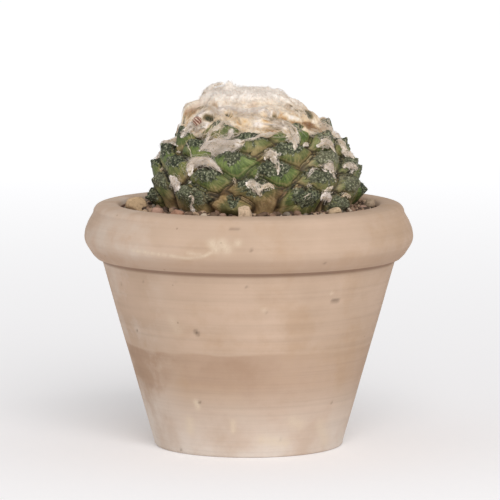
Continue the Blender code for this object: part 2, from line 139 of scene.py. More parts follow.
def finish(add, colour, roughness, relief=(), **sockets):
    """End a material. Its relief is a height, how strongly that shows, and its depth in mm."""
    if relief:
        sockets["Normal"] = add("Bump", Height=relief[0], Strength=relief[1], Distance=relief[2] * MM)
    add("OutputMaterial", add("BsdfPrincipled", Base_Color=colour, Roughness=roughness, **sockets))


# Seamless paper, dead matt: it glows a little away from the pot, as an evenly lit sweep does.
paper, add, here = new_material("white_sweep")
far = add("VectorMath", here, out=1, operation="LENGTH")
finish(add, coats(add, "f2f0f1", ("f2f2f4", add("MapRange", far, 0.1, 1.2))), 0.9, Specular_IOR_Level=0.0,
       Emission_Color="ffffff", Emission_Strength=add("MapRange", far, 0.1, 1.6, 0.12, 0.52))


def circle(count):
    """That many angles, evenly round a circle."""
    return np.arange(count) / count * math.tau


floor_mesh = bpy.data.meshes.new("floor")
floor_mesh.from_pydata([(FLOOR_RADIUS * math.cos(a), FLOOR_RADIUS * math.sin(a), 0.0) for a in circle(32)],
                       [], [list(range(32))])
floor_mesh.materials.append(paper)
floor = bpy.data.objects.new("floor", floor_mesh)
scene.collection.objects.link(floor)
floor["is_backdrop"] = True

world = bpy.data.worlds.new("studio")
world.use_nodes = True
world.node_tree.nodes["Background"].inputs["Color"].default_value = linear("ffffff")
world.node_tree.nodes["Background"].inputs["Strength"].default_value = 0.545
scene.world = world

lamp = bpy.data.lights.new("soft_box", "AREA")
lamp.size = 1.4
lamp.energy = 33.0
soft_box = bpy.data.objects.new("soft_box", lamp)
soft_box.location = (0.36, -1.98, 1.5)
soft_box.rotation_euler = (Vector((0, 0, 0.08)) - soft_box.location).to_track_quat("-Z", "Y").to_euler()
scene.collection.objects.link(soft_box)

# Clay pot
# A thrown pot of pale fired clay, 150 mm across its rolled rim. Its wall keeps faint rings of
# the wheel, and lime from the watering has come out low down and at the left.
POT_SIDES, FRONT_SIDES = 280, 216


def add_piece(name, points, faces, marks, material, slot, stands_for=()):
    """A mesh in millimetres as a piece of the object; marks are numbers kept at its points."""
    mesh = bpy.data.meshes.new(name)
    mesh.from_pydata(np.asarray(points) * MM, [], [face for kind in faces for face in kind.tolist()])
    mesh.shade_smooth()
    for key, values in marks.items():
        mesh.attributes.new(key, "FLOAT", "POINT").data.foreach_set("value", values)
    mesh.materials.append(material)
    made = bpy.data.objects.new(name, mesh)
    scene.collection.objects.link(made)
    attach(made, "root")
    if stands_for:
        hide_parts(*stands_for)


def smooth_run(rows, steps):
    """Rows of numbers joined by a smooth curve through them, with steps points from row to row."""
    rows = np.asarray(rows, float)
    padded = np.vstack([2 * rows[0] - rows[1], rows, 2 * rows[-1] - rows[-2]])
    places = []
    for a, b, c, d in zip(padded, padded[1:], padded[2:], padded[3:]):
        for t in np.arange(steps) / steps:
            places.append(0.5 * (2 * b + (c - a) * t + (2 * a - 5 * b + 4 * c - d) * t ** 2
                                 + (3 * b - a - 3 * c + d) * t ** 3))
    return np.array(places + [rows[-1]])


def grid_faces(rows, columns, looped=False):
    """Four-sided faces of rings of points, one ring to a row; looped joins the last ring to the first."""
    this = np.arange(rows if looped else rows - 1)[:, None] * columns
    following = (this + columns) % (rows * columns)
    across = np.arange(columns)
    after = (across + 1) % columns
    corners = [this + across, this + after, following + after, following + across]
    return np.stack(corners, axis=-1).reshape(-1, 4)


def tree_of(points, faces):
    """A mesh as a tree that finds places on it."""
    return BVHTree.FromPolygons(
        np.asarray(points).tolist(), [face for kind in faces for face in kind.tolist()])


def lump(spot, size):
    """Smooth noise from about -1 to 1, in lumps of that size in millimetres."""
    return noise.noise(Vector(spot) / size)


PHOTO_SIDE = 500
VIEW_AXES = np.array(Matrix.Rotation(TILT, 3, "X"))


def seen_at(px, py, surfaces):
    """The place on some surfaces that the camera sees at a point of the 500 x 500 frame."""
    right, up = np.array([px - PHOTO_SIDE / 2, PHOTO_SIDE / 2 - py]) / (FOCAL / SENSOR * PHOTO_SIDE)
    ray = VIEW_AXES @ (right, up, -1.0)
    ray = Vector(ray / np.linalg.norm(ray))
    hits = [surface.ray_cast(Vector(EYE), ray) for surface in surfaces]
    hits = [hit for hit in hits if hit[0] is not None and hit[0].y < 6.0]
    if hits:
        return min(hits, key=lambda hit: hit[3])[0]
    return surfaces[0].find_nearest(Vector(EYE) - ray * (EYE[1] / ray.y))[0]


def marked(points, lines, surfaces):
    """How strongly and how deep each point lies in marks that the photo shows in front. A line is its
    radius in mm, its strength, its depth in mm, and its places in the frame."""
    points = np.asarray(points)
    strength, depth = np.zeros(len(points)), np.zeros(len(points))
    for radius, power, deep, *places in lines:
        for place in smooth_run(places, 6) if len(places) > 1 else places:
            away = np.linalg.norm(points - np.array(seen_at(*place, surfaces)), axis=1)
            share = np.exp(-(away / radius) ** 2)
            strength = np.maximum(strength, share * power)
            depth = np.maximum(depth, share * deep)
    return strength, depth


# the outline, as radius and height: down the outside, over the foot and up the inside
lip = smooth_run([(58.7, 108.4), (59.8, 110.3), (62.0, 111.0), (66.0, 110.9), (69.2, 110.0), (70.7, 108.2),
                  (71.2, 106.3), (73.2, 102.7), (74.6, 99.0), (75.0, 95.5), (74.4, 93.0), (73.0, 90.6),
                  (71.3, 88.0), (69.5, 86.2)], 4)
under_lip = [(68.4, 85.8), (67.4, 85.6), (67.0, 85.0)]
wall = np.linspace((66.8, 84.4), (43.3, 1.6), 77)[1:]
foot = [(43.1, 0.8), (42.6, 0.2), (41.8, 0.0), (24.0, 0.0), (7.6, 0.0), (7.0, 0.5), (7.0, 8.5), (7.6, 9.0),
        (20.0, 9.0), (31.0, 9.0), (34.6, 10.4), (37.9, 13.0)]
inside = np.vstack([np.linspace((38.0, 13.0), (58.7, 88.0), 15)[1:],
                    np.linspace((58.7, 88.0), (58.7, 107.4), 7)[1:]])
outline = np.vstack([lip, under_lip, wall, foot, inside])
# a column to a degree in front, fewer round the back
FRONT_FROM, FRONT_TO = 0.95 * math.pi, 2.05 * math.pi
angles = np.concatenate([np.linspace(FRONT_FROM, FRONT_TO, FRONT_SIDES, endpoint=False),
                         np.linspace(FRONT_TO, 2.95 * math.pi, POT_SIDES - FRONT_SIDES, endpoint=False)])
pot_points = []
for row, (r, z) in enumerate(outline):
    thrown = row < len(lip) + len(under_lip) + len(wall)
    for a in angles:
        out = Vector((math.cos(a), math.sin(a), z / 40))
        wobble = 0.16 * noise.noise(out * 1.7) + 0.05 * lump((0, 0, z), 1.7) - 0.12 if thrown else 0.0
        pot_points.append(((r + wobble) * out.x, (r + wobble) * out.y, z))
pot_faces = grid_faces(len(outline), POT_SIDES, looped=True)
damp_inside = np.repeat(np.arange(len(outline)) >= len(outline) - len(inside), POT_SIDES).astype(float)
damp_inside[:POT_SIDES] = 1.0
pot_tree = tree_of(pot_points, [pot_faces])
# smears of lime slip and pale scratches, then nicks and burnt specks
SMEARS = ((0.7, 0.75, 0, (134, 250.7), (151.6, 253.3), (173, 256.1), (188.4, 258.3), (203.6, 256.1),
    (210, 253)), (0.7, 0.5, 0, (188, 253), (201, 255)), (2, 0.7, 0, (212, 243), (216, 249)), (2.2, 0.65, 0,
    (222, 243), (227, 249)), (1.5, 0.7, 0, (238, 243)), (1.4, 0.8, 0, (196, 402), (198, 407)), (1.3, 0.7, 0,
    (233, 422), (233.5, 431)), (2.4, 0.6, 0, (190, 421), (190, 430)), (0.8, 0.7, 0, (332, 293)), (2.6, 0.5,
    0, (292, 421), (300, 425)), (2.4, 0.6, 0, (262, 440), (285, 443)), (1.2, 0.5, 0, (264, 310)), (3, 0.5, 0,
    (320, 425), (325, 441)), (2.4, 0.3, 0, (172, 321), (178, 330)))
NICKS = ((0.6, 0.5, 0, (231, 229), (239, 229)), (0.6, 0.6, 0, (251.3, 250.3)), (0.6, 0.6, 0, (324.4, 263.3)),
    (0.6, 0.5, 0, (121.2, 283.7)), (0.5, 0.5, 0, (142.9, 281)), (0.5, 0.5, 0, (174.8, 281.5)), (0.5, 0.6, 0,
    (247, 287)), (0.7, 0.9, 0, (332.5, 301), (338, 300.6)), (0.8, 0.9, 0, (195.5, 331.5), (198, 334)), (0.6,
    0.8, 0, (137, 330.4)), (0.5, 0.5, 0, (266, 312.2)), (0.6, 0.8, 0, (199.8, 402.6)), (0.5, 0.9, 0,
    (331.7, 402.2)), (0.6, 0.7, 0, (181, 449.6)), (0.5, 0.5, 0, (280.8, 439)))
smear, nick = [marked(pot_points, lines, [pot_tree])[0] for lines in (SMEARS, NICKS)]

# Unglazed earthenware, dry and quite matt: no gloss, a fine grain and soft horizontal streaks
# where the potter's sponge ran. The grain is drawn at 0.67 mm, coarser than the real clay's.
clay, add, here = new_material("fired_clay")
side, low = [add("SeparateXYZ", here, out=axis) for axis in (0, 2)]
clouds = add("TexNoise", here, Scale=1000 / 38.5, Detail=5.0, Roughness=0.55)
patches = add("TexNoise", add("VectorMath", here, (0.3, 0.1, 0.7)), Scale=1000 / 23.8, Detail=7.0,
              Roughness=0.6)
# streaks run 110 mm along the wall and are 1.8 mm high
stretched = add("VectorMath", here, (1000 / 111, 1000 / 111, 1000 / 1.786), operation="MULTIPLY")
streaks = add("TexNoise", stretched, Scale=1.0, Detail=4.0, Roughness=0.6)
grain = add("TexNoise", here, Scale=1000 / 0.6667, Detail=3.0, Roughness=0.6)
# the wall stays damp and browner from the soil inside, up to a sharp tide line at mid height
tide = add("Math", clouds, -0.006, low, operation="MULTIPLY_ADD")
damp = (add("MapRange", tide, 0.0456, 0.0446), add("MapRange", tide, 0.010, 0.026),
        add("MapRange", patches, 0.35, 0.62, 1.0, 0.45), add("MapRange", side, 0.0, 0.04, 1.0, 0.4))
# older damp has left faint brown clouds above it
cloudy = add("MapRange", patches, 0.5, 0.66, 0.0, 0.45)
# lime: a whitish bloom near the foot and in drifts at the left
drift = add("Math", add("MapRange", side, -0.028, -0.052, 0.0, 0.5), add("MapRange", patches, 0.46, 0.62),
            operation="MULTIPLY")
lime = add("Math", add("MapRange", low, 0.034, 0.002), add("MapRange", patches, 0.34, 0.62, 0.35, 1.0), drift,
           operation="MULTIPLY_ADD")
colour = coats(add, "bda38d", ("c9af9a", add("MapRange", clouds, 0.35, 0.65)), ("a98b74", 0.8, *damp),
               ("b59679", cloudy), ("dccfc3", lime))
sponged = add("ValToRGB", streaks, stops=((0.25, 0.93), (0.5, 1.0), (0.8, 1.04)))
colour = add("Mix", 1.0, A_Color=colour, B_Color=sponged, out=2, data_type="RGBA", blend_type="MULTIPLY")
# pits of about a millimetre, and painted shade in the corner under the rim and on the curve above it
pit = add("MapRange", add("TexVoronoi", here, Scale=1000 / 13.9), 0.045, 0.02)
corner = [add("MapRange", low, *heights) for heights in ((0.0838, 0.0850), (0.0866, 0.0862))]
rolled = [add("MapRange", low, *heights) for heights in ((0.0930, 0.0900), (0.0862, 0.0870))]
slip, speck, wet = [add("Attribute", out=2, attribute_name=name) for name in ("smear", "nick", "damp_inside")]
colour = coats(add, colour, ("86705c", 0.5, pit), ("806350", 0.7, *corner), ("a98c76", 0.4, *rolled),
               ("dccab2", slip, add("MapRange", grain, 0.3, 0.6, 0.5, 1.0)), ("6b5a4c", speck),
               ("7f5d4b", wet))
relief = add("Math", grain, 0.35, add("Math", streaks, pit, operation="SUBTRACT"), operation="MULTIPLY_ADD")
finish(add, colour, 0.92, (relief, 0.35, 0.35), Specular_IOR_Level=0.2)
add_piece("clay_pot", pot_points, [pot_faces[:, ::-1]],
          {"damp_inside": damp_inside, "smear": smear, "nick": nick}, clay, "terracotta", ["terracotta_pot"])

# Crock and potting soil
# A shard of an older pot keeps the soil off the drain hole. The soil is a dark mineral mix,
# damp at the top, and only its frame solid is shown, since gravel covers it.

# Old earthenware, redder than the pot and stained by the soil, with a broken, grainy face.
shard, add, here = new_material("old_shard")
stain = add("TexNoise", here, Scale=1000 / 6.25, Detail=5.0)
colour = add("ValToRGB", stain, stops=((0.3, "7b4a35"), (0.6, "a9694b"), (0.8, "b9927a")))
finish(add, colour, 0.9, (stain, 0.4, 0.6))

# Peat and pumice, crumbly and dull: dark brown with paler crumbs of 1.5 to 2.5 mm.
earth, add, here = new_material("potting_soil")
mixed = add("TexNoise", here, Scale=1000 / 1.43, Detail=4.0)
colour = add("ValToRGB", mixed, stops=((0.3, "241a13"), (0.55, "4a382a"), (0.72, "8a755f")))
finish(add, colour, 0.97, (add("TexVoronoi", here, Scale=1000 / 2.38), 0.8, 1.2))
for name, material in (("drainage_crock", shard), ("soil", earth)):
    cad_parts[name].data.materials.clear()
    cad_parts[name].data.materials.append(material)

# Gravel
# Top dressing of crushed stone, mostly tan and pinkish chips of 2 to 5 mm with dark grit in
# between, raked level round the neck of the plant.
PLANT_X = 3.5
BED_SIDES, BED_RINGS = 200, 16
NECK, POT_WALL, BED_FLOOR = 38.4, 58.3, 104.4
CHIPS, CHIP_INNER, CHIP_OUTER = 800, 40.5, 58.6


def bed_height(x, y):
    """Top of the gravel, which is heaped a little against the neck of the plant."""
    out = (math.hypot(x - PLANT_X, y) - 48.0) / 11.8
    return 110.1 - 2.6 * min(1.0, max(0.0, out)) ** 1.5


def bed_spot(share, a):
    """A place between the neck of the plant, at share 0, and the wall of the pot, at share 1."""
    reach = NECK + (POT_WALL - NECK) * share
    return PLANT_X * (1 - share) + reach * math.cos(a), reach * math.sin(a)


def unit(vectors):
    """Each vector made one long."""
    return vectors / (np.linalg.norm(vectors, axis=-1, keepdims=True) + 1e-9)


def chip(ball, size, seed, cuts=7):
    """A stone: the points of a ball, squashed and cut flat along a few drawn planes."""
    draw = random.Random(seed)
    spots = ball.copy()
    for _ in range(cuts):
        facing = unit([draw.gauss(0, 1), draw.gauss(0, 1), draw.gauss(0, 1)])
        beyond = np.maximum(spots @ facing - draw.uniform(0.62, 0.85), 0.0)
        spots -= np.outer(beyond * 0.92, facing)
    return spots * size


def ball_mesh(subdivisions):
    bm = bmesh.new()
    bmesh.ops.create_icosphere(bm, subdivisions=subdivisions, radius=1.0)
    points = np.array([v.co[:] for v in bm.verts])
    triangles = np.array([[v.index for v in f.verts] for f in bm.faces])
    bm.free()
    return points, triangles


def spin(points, turns):
    """Turn points about x, y and z in turn, by angles in radians."""
    for axis, angle in zip("XYZ", turns):
        points = points @ np.array(Matrix.Rotation(angle, 3, axis)).T
    return points


def joined(bodies):
    """Meshes of points, kinds of faces and marks, as one such mesh."""
    starts = np.cumsum([0] + [len(points) for points, _, _ in bodies])
    faces = [np.vstack([body[1][kind] + start for body, start in zip(bodies, starts)])
             for kind in range(len(bodies[0][1]))]
    marks = {key: np.concatenate([body[2][key] for body in bodies]) for key in bodies[0][2]}
    return np.vstack([points for points, _, _ in bodies]), faces, marks


# the fine grit that lies under and between the chips is one rough ring
bed_points = []
for share in np.linspace(0, 1, BED_RINGS):
    for a in circle(BED_SIDES):
        x, y = bed_spot(share, a)
        rough = lump((x, y, 0), 1.1) + 0.7 * lump((x, y, 7), 0.6)
        bed_points.append((x, y, bed_height(x, y) - 1.5 + 0.9 * rough))
bed_points += [(*bed_spot(share, a), BED_FLOOR) for share in (1, 0) for a in circle(BED_SIDES)]

draw = random.Random(12)
small_ball, big_ball = ball_mesh(1), ball_mesh(2)
chips, taken = [], []
tries = 0
while len(chips) < CHIPS:
    a, r = draw.uniform(0, math.tau), math.sqrt(draw.uniform(CHIP_INNER ** 2, CHIP_OUTER ** 2))
    x, y = r * math.cos(a) + PLANT_X * (CHIP_OUTER - r) / 18, r * math.sin(a)
    half = draw.choice((0.7, 0.8, 1.0, 1.2, 1.5, 2.0))
    tries += 1
    near = min((math.hypot(x - u, y - v) - w for u, v, w in taken[-260:]), default=9)
    if near < half * 0.45 and tries < 9000 or math.hypot(x, y) + half > 59.2:
        continue
    taken.append((x, y, half))
    size = half * np.array([draw.uniform(0.85, 1.25), draw.uniform(0.8, 1.1), draw.uniform(0.6, 0.95)])
    ball, faces = small_ball if half < 1.7 else big_ball
    spots = spin(chip(ball, size, 1000 + len(taken)),
                 [draw.uniform(-0.5, 0.5), draw.uniform(-0.5, 0.5), draw.uniform(0, 6.28)])
    spots += (x, y, bed_height(x, y) - 0.5 + half * draw.uniform(-0.1, 0.3))
    chips.append((spots, [faces], {"tone": np.full(len(spots), draw.random())}))

# Crushed quartzite and lime stone, dry and dusty: tan, pink, grey and a few dark chips.
stone_dust, add, here = new_material("crushed_stone")
tone = add("Attribute", out=2, attribute_name="tone")
veins = add("TexNoise", here, Scale=1000 / 1.923, Detail=5.0, Roughness=0.6)
lot = add("ValToRGB", tone, stops=((0.0, "4a3a2e"), (0.2, "715a48"), (0.38, "947560"), (0.54, "ab8d74"),
                                   (0.68, "bda084"), (0.78, "a58574"), (0.87, "857a6c"), (0.94, "cbb8a2")))
lot.node.color_ramp.interpolation = "CONSTANT"
finish(add, coats(add, lot, ("6f5746", add("MapRange", veins, 0.4, 0.7, 0.0, 0.45))), 0.88, (veins, 0.5, 0.5))
add_piece("gravel_chips", *joined(chips), stone_dust, "gravel")

# Sharp sand and stone dust, dull and shadowed: grains of about 1.1 mm, each of its own brown.
grit, add, here = new_material("dark_grit")
depth, grain = [add("TexVoronoi", here, Scale=1000 / 1.111, out=place) for place in (0, 1)]
colour = add("ValToRGB", add("SeparateXYZ", grain),
             stops=((0.0, "2e221a"), (0.45, "5b4636"), (0.7, "876c56"), (0.9, "b39a80")))
finish(add, colour, 0.95, (depth, 0.9, -0.7))
add_piece("gravel_grit", bed_points, [grid_faces(BED_RINGS + 2, BED_SIDES, looped=True)[:, ::-1]], {}, grit,
          "gravel", ["gravel_bed"])

# Loose stones
# Eight larger pebbles that lie on the gravel: a big tan one at the left, pinkish ones beside
# it, an upright one in front and a few more round the back.
STONES = ((-51.0, -9.5, (5.0, 4.4, 4.2), 20, 3, "c9ab86"), (-41.0, -35.0, (3.3, 2.8, 3.1), 60, 8, "b48f7c"),
          (-32.0, -44.5, (4.0, 2.9, 2.8), -15, 11, "a97f68"), (-1.7, -53.2, (3.9, 2.9, 4.6), 10, 5, "d8bd9f"),
          (38.5, -38.8, (3.2, 2.8, 2.5), 35, 21, "cbb08f"), (55.0, -6.0, (2.7, 3.2, 2.6), 10, 17, "a8937c"),
          (-43.5, 33.0, (3.8, 3.2, 3.0), 45, 29, "b7a189"), (29.0, 47.5, (3.6, 2.8, 2.9), -30, 34, "9c8873"))
fine_ball, fine_faces = ball_mesh(4)
for number, (x, y, size, angle, seed, tint) in enumerate(STONES, 1):
    spots = chip(fine_ball, np.array(size), seed)
    spots = np.array([spot * (1 + 0.035 * lump(spot, 1.3) + 0.015 * lump(spot, 0.4)) for spot in spots])
    spots = spin(spots, (0, 0, math.radians(angle))) + (x, y, bed_height(x, y) + size[2] * 0.42)
    # Weathered pebble: worn edges, a dusty skin and darker mineral flecks of 1.1 to 1.6 mm.
    pebble, add, here = new_material(f"pebble_{number}")
    flecks = add("TexNoise", here, Scale=600.0 + 40 * number, Detail=6.0, Roughness=0.65)
    finish(add, coats(add, tint, ("7a5d47", add("MapRange", flecks, 0.48, 0.66, 0.0, 0.6))), 0.85,
           (flecks, 0.5, 0.5))
    add_piece(f"pebble_{number}", spots, [fine_faces], {}, pebble, "gravel", [f"stone_{number}"])

# Plant
# One slow-grown head of wide, keeled tubercles on 5, 6 and 11 spirals. Each has a smooth
# green belly, and a face and rim that are broken up into grey-green warts.
TUBERCLES = 64
FIRST_SHOWN = 14
SPIRAL_TURN = 64.46
GROWN_AREA, BUD_AREA = 286.4, 158.0
NOSE = 12.5
# radius and height of the dome on which the noses lie
DOME = ((0, 157.5), (10, 156.5), (20, 154), (28, 151), (34, 147),
        (39.5, 141), (46.3, 132), (50, 121.5), (49.5, 113), (46, 106))
# a tubercle's section lines from nose to root: place on its axis, half width, reach up and down
LINES = ((13.9, 0, 0, 0), (12.5, 3.3, 1.9, 1.5), (10.2, 7.0, 4.2, 3.9), (7.3, 11.3, 7.0, 7.2),
         (3.6, 17.5, 10.4, 11.4), (-1.5, 23.5, 12.6, 15.2))


def tubercle_places():
    """Where each nose is: (number, azimuth, radius, height, elevation, scale)."""
    table, area = [], 0.0
    for (r0, z0), (r1, z1) in zip(DOME, DOME[1:]):
        for share in (np.arange(60) + 0.5) / 60:
            r = r0 + (r1 - r0) * share
            area += 2 * math.pi * r * math.hypot(r1 - r0, z1 - z0) / 60
            table.append((area, r, z0 + (z1 - z0) * share, math.atan2(r1 - r0, z0 - z1)))
    area, places = 0.0, []
    draw = random.Random(7)
    for n in range(TUBERCLES):
        own = GROWN_AREA - (GROWN_AREA - BUD_AREA) * math.exp(-n / 22.0)
        middle = area + own / 2
        area += own
        row = next((row for row in table if row[0] >= middle), table[-1])
        near = [other[3] for other in table if abs(other[0] - row[0]) < 1500]
        turn = 13.9 + n * SPIRAL_TURN
        turn += 5.0 * math.sin(math.radians(turn + 47.8)) + draw.uniform(-1.5, 1.5)
        scale = math.sqrt(own / GROWN_AREA) * draw.uniform(0.95, 1.05)
        places.append((n, math.radians(turn), row[1], row[2], sum(near) / len(near), scale))
    return places[FIRST_SHOWN:]


def tubercle_frame(azimuth, radius, height, elevation, scale):
    """Local frame in millimetres: x along the level line, y up the dome, z out through the nose."""
    out = Vector((math.sin(azimuth), -math.cos(azimuth), 0.0))
    side = Vector((math.cos(azimuth), math.sin(azimuth), 0.0))
    tilt = elevation + math.radians(6.0)
    axis = out * math.cos(tilt) + Vector((0, 0, 1)) * math.sin(tilt)
    axes = Matrix((side, axis.cross(side), axis)).transposed().to_4x4()
    nose = Vector((PLANT_X, 0, height)) + out * radius
    return Matrix.Translation(nose - axis * NOSE * scale) @ axes @ Matrix.Scale(scale, 4)


def smooth_step(low, high, value):
    share = np.clip((value - low) / (high - low), 0.0, 1.0)
    return share * share * (3 - 2 * share)


def warts(spot):
    """Height from 0 to 1 of the larger warts: rounded granules of 1.9 mm with cracks between."""
    near, far = noise.voronoi((spot + noise.noise_vector(spot / 2.6) * 0.9) / 1.9)[0][:2]
    return min(1.0, (far - near) * 1.8)


# noise_vector reads the noise at a place taken from the clock unless it gets a seed
noise.seed_set(5)
# how far the warts spread from the nose, where the photo shows it
WARTY = {39: 1.05, 50: 0.9, 56: 0.95, 55: 1.1, 44: 0.85, 33: 0.85, 45: 0.95, 51: 1.1, 34: 1.05, 62: 1.1,
         28: 1.0, 61: 0.25, 27: 0.75, 38: 0.8, 49: 1.0, 60: 0.9, 40: 1.1}


def tubercle_skin(n, detail, seed):
    """Points of one tubercle in its own frame, its outward directions, and its marks."""
    draw = random.Random(seed)
    turn = np.concatenate([np.linspace(-0.5, math.pi + 0.5, round(76 * detail), endpoint=False),
                           np.linspace(math.pi + 0.5, math.tau - 0.5, round(30 * detail), endpoint=False)])
    rings = smooth_run(LINES, round(9 * detail))[1:]
    down = np.linspace(0, 5, len(rings) + 1)[1:, None]
    wide, tall, lean = draw.uniform(0.95, 1.06), draw.uniform(0.93, 1.07), draw.uniform(-0.06, 0.06)
    c, s = np.cos(turn), np.sin(turn)
    bend = 2 / (1.9 - 0.09 * down)
    z = np.repeat(rings[:, 0:1], len(turn), axis=1)
    x = rings[:, 1:2] * np.sign(c) * np.abs(c) ** bend * wide + lean * (NOSE - z)
    y = np.where(s > 0, rings[:, 2:3], rings[:, 3:4]) * np.sign(s) * np.abs(s) ** bend * tall
    points = np.stack([x, y, z], axis=-1)
    around = np.roll(points, -1, axis=1) - np.roll(points, 1, axis=1)
    normal = unit(np.cross(np.gradient(points, axis=0), around))
    shape, crest = np.empty(x.shape), np.full(x.shape, 0.5)
    for i, j in np.ndindex(x.shape):
        spot = Vector((x[i, j] + 31 * n, y[i, j], z[i, j]))
        shape[i, j] = noise.noise(spot / 5.0)
        if s[j] > -0.8 and down[i] < 4.7:
            crest[i, j] = warts(spot)
    fingers = np.array([noise.noise(Vector((a * 4.0, 0.0, 9.0 * n))) for a in turn])
    spread = WARTY.get(n, draw.uniform(0.8, 1.05))
    edge = ((x / (8.5 * spread + 0.45 * np.maximum(y - 2.0, 0.0))) ** 2
            + ((y - 2.0) / (6.0 * spread)) ** 2 * (y < 2.0))
    mask = 1 - smooth_step(0.6, 1.35, edge + 0.9 * shape + 0.7 * fingers)
    mask = mask * (1 - smooth_step(4.2, 4.7, down))
    furrow = np.exp(-(x / 1.3) ** 2) * smooth_step(0.15, 0.5, s) * smooth_step(0.3, 1.2, down)
    keel = np.exp(-(x / 2.4) ** 2) * (1 - mask) * smooth_step(0.2, 0.9, -s)
    lift = mask * (0.8 * crest - 0.3 - 1.3 * furrow) + 0.35 * shape + 0.35 * keel
    marks = {"warty": np.append(mask, (1.0, 0.0)), "crest": np.append(crest, (0.6, 0.5)),
             "around": np.append(np.tile(turn, len(rings)), (0.0, 0.0)),
             "down": np.append(np.repeat(down / 5, len(turn)), (0.0, 1.0))}
    return points + normal * lift[..., None], normal, marks


def capped(rows, columns):
    """Faces of rings of points with a tip at each end; the two tips come after all the rings."""
    ring = np.arange(columns)
    after = (ring + 1) % columns
    tip = np.full(columns, rows * columns)
    caps = np.vstack([np.stack([ring, after, tip], axis=-1),
                      np.stack([tip - columns + after, tip - columns + ring, tip + 1], axis=-1)])
    return [grid_faces(rows, columns)[:, ::-1], caps]


# how brown and corky the belly has become, most in the old ones low in front, and how much paler it is drawn,
# most on the right
RUSTY = {50: 0.6, 55: 0.45, 63: 1.0, 58: 0.7, 53: 0.6, 51: 0.35, 62: 0.4, 61: 0.85, 60: 0.4, 37: 0.15,
         39: 0.1, 44: 0.25, 56: 0.3, 45: 0.35, 28: 0.35, 49: 0.25, 33: 0.0}
PALE = {51: 0.5, 62: 0.35, 34: 0.45, 40: 0.35, 56: 0.1, 45: 0.2, 44: 0.1, 33: 0.1, 50: 0.15}
tubercles, outward, groups = [], [], {}
for n, azimuth, *rest, scale in tubercle_places():
    detail = 0.62 if n < 27 else 0.75 if math.cos(azimuth) < -0.2 else 1.0
    points, normal, marks = tubercle_skin(n, detail, 100 + n)
    place = np.array(tubercle_frame(azimuth, *rest, scale))
    points_and_tips = np.vstack([points.reshape(-1, 3), [(0.0, 0.0, 14.0), (0.0, 0.0, -4.0)]])
    spots = points_and_tips @ place[:3, :3].T + place[:3, 3]
    for mark, value in (("rusty", RUSTY.get(n, 0.25 * random.Random(40 + n).random() + 0.1)),
                        ("pale", PALE.get(n, 0.25 * random.Random(70 + n).random())),
                        ("lot", random.Random(900 + n).random())):
        marks[mark] = np.full(len(spots), value)
    tubercles.append((spots, capped(*points.shape[:2]), marks))
    outward.append(np.vstack([normal.reshape(-1, 3), [(0, 0, 1), (0, 0, -1)]]) @ place[:3, :3].T / scale)
    group = ("upper_tubercles", "middle_tubercles", "lower_tubercles")[(n > 34) + (n > 49)]
    groups.setdefault(group, []).append(len(tubercles) - 1)

# Living epidermis: thick, waxy and dull. The bellies are green with fine streaks that run down
# from the nose, browner and corky toward their edges; the warts are grey-green with pale tops.
skin, add, here = new_material("waxy_epidermis")
warty, crest, around, down, near, rusty, pale, lot = [
    add("Attribute", out=2, attribute_name=name)
    for name in ("warty", "crest", "around", "down", "near", "rusty", "pale", "lot")]
blotch = add("TexNoise", here, Scale=1000 / 6.667, Detail=5.0, Roughness=0.6)
fine = add("TexNoise", here, Scale=1000 / 0.909, Detail=4.0, Roughness=0.65)
# the streaks fan out from the nose, so their place is the way round it and the way down from it
fan = add("CombineXYZ", *[add("Math", mark, times, operation="MULTIPLY")
                          for mark, times in ((around, 9.0), (down, 3.5), (lot, 60.0))])
streak = add("TexNoise", fan, Scale=1.5, Detail=5.0, Roughness=0.62)
streak = add("Mix", 0.5, A_Float=streak, B_Float=blotch)
green, olive = [add("ValToRGB", streak, stops=tuple(zip((0.34, 0.45, 0.55, 0.68), tints)))
                for tints in (("344220", "4f622c", "6f8140", "98a463"),
                              ("40401f", "605c31", "817747", "a89a66"))]
aged = add("MapRange", add("Math", blotch, 0.9, rusty, operation="MULTIPLY_ADD"), 0.5, 1.0)
# corky brown: spreads from the lower edge, over most of the belly where it is old
spread = add("Math", rusty, 0.42, down, operation="MULTIPLY_ADD")
corky = add("MapRange", add("Math", streak, 0.9, spread, operation="MULTIPLY_ADD"), 1.10, 1.36, 0.0, 0.85)
brown = add("ValToRGB", add("Mix", 0.35, A_Float=streak, B_Float=fine),
            stops=((0.36, "6a4a30"), (0.48, "9a744c"), (0.6, "c4a278")))
# warts of a millimetre or so, with pale crinkled ridges winding between them; the pale tops and dark cracks
# are partly painted highlight and shade
bent = add("VectorMath", add("TexNoise", here, Scale=1000 / 2, Detail=2.0, out=1), (0.0022, 0.0022, 0.0022),
           here, operation="MULTIPLY_ADD")
winding = add("TexNoise", bent, Scale=1000 / 1.613, Detail=2.5, Roughness=0.6)
winding = add("Math", add("Math", winding, 0.5, operation="SUBTRACT"), operation="ABSOLUTE")
top = add("Math", add("MapRange", winding, 0.055, 0.0, 0.0, 0.5),
          add("MapRange", add("TexVoronoi", bent, Scale=1000 / 1.316), 0.65, 0.1, 0.0, 0.62))
top = add("Math", crest, 0.22, top, operation="MULTIPLY_ADD")
wart_colour = add("ValToRGB", top, stops=((0.15, "252c1e"), (0.33, "434b35"), (0.5, "666d4e"),
                                          (0.7, "95977a"), (0.94, "c8c6ab")))
worn = add("Math", add("Math", top, streak), 0.55, warty, operation="MULTIPLY_ADD")
worn = add("MapRange", worn, 0.75, 1.1)
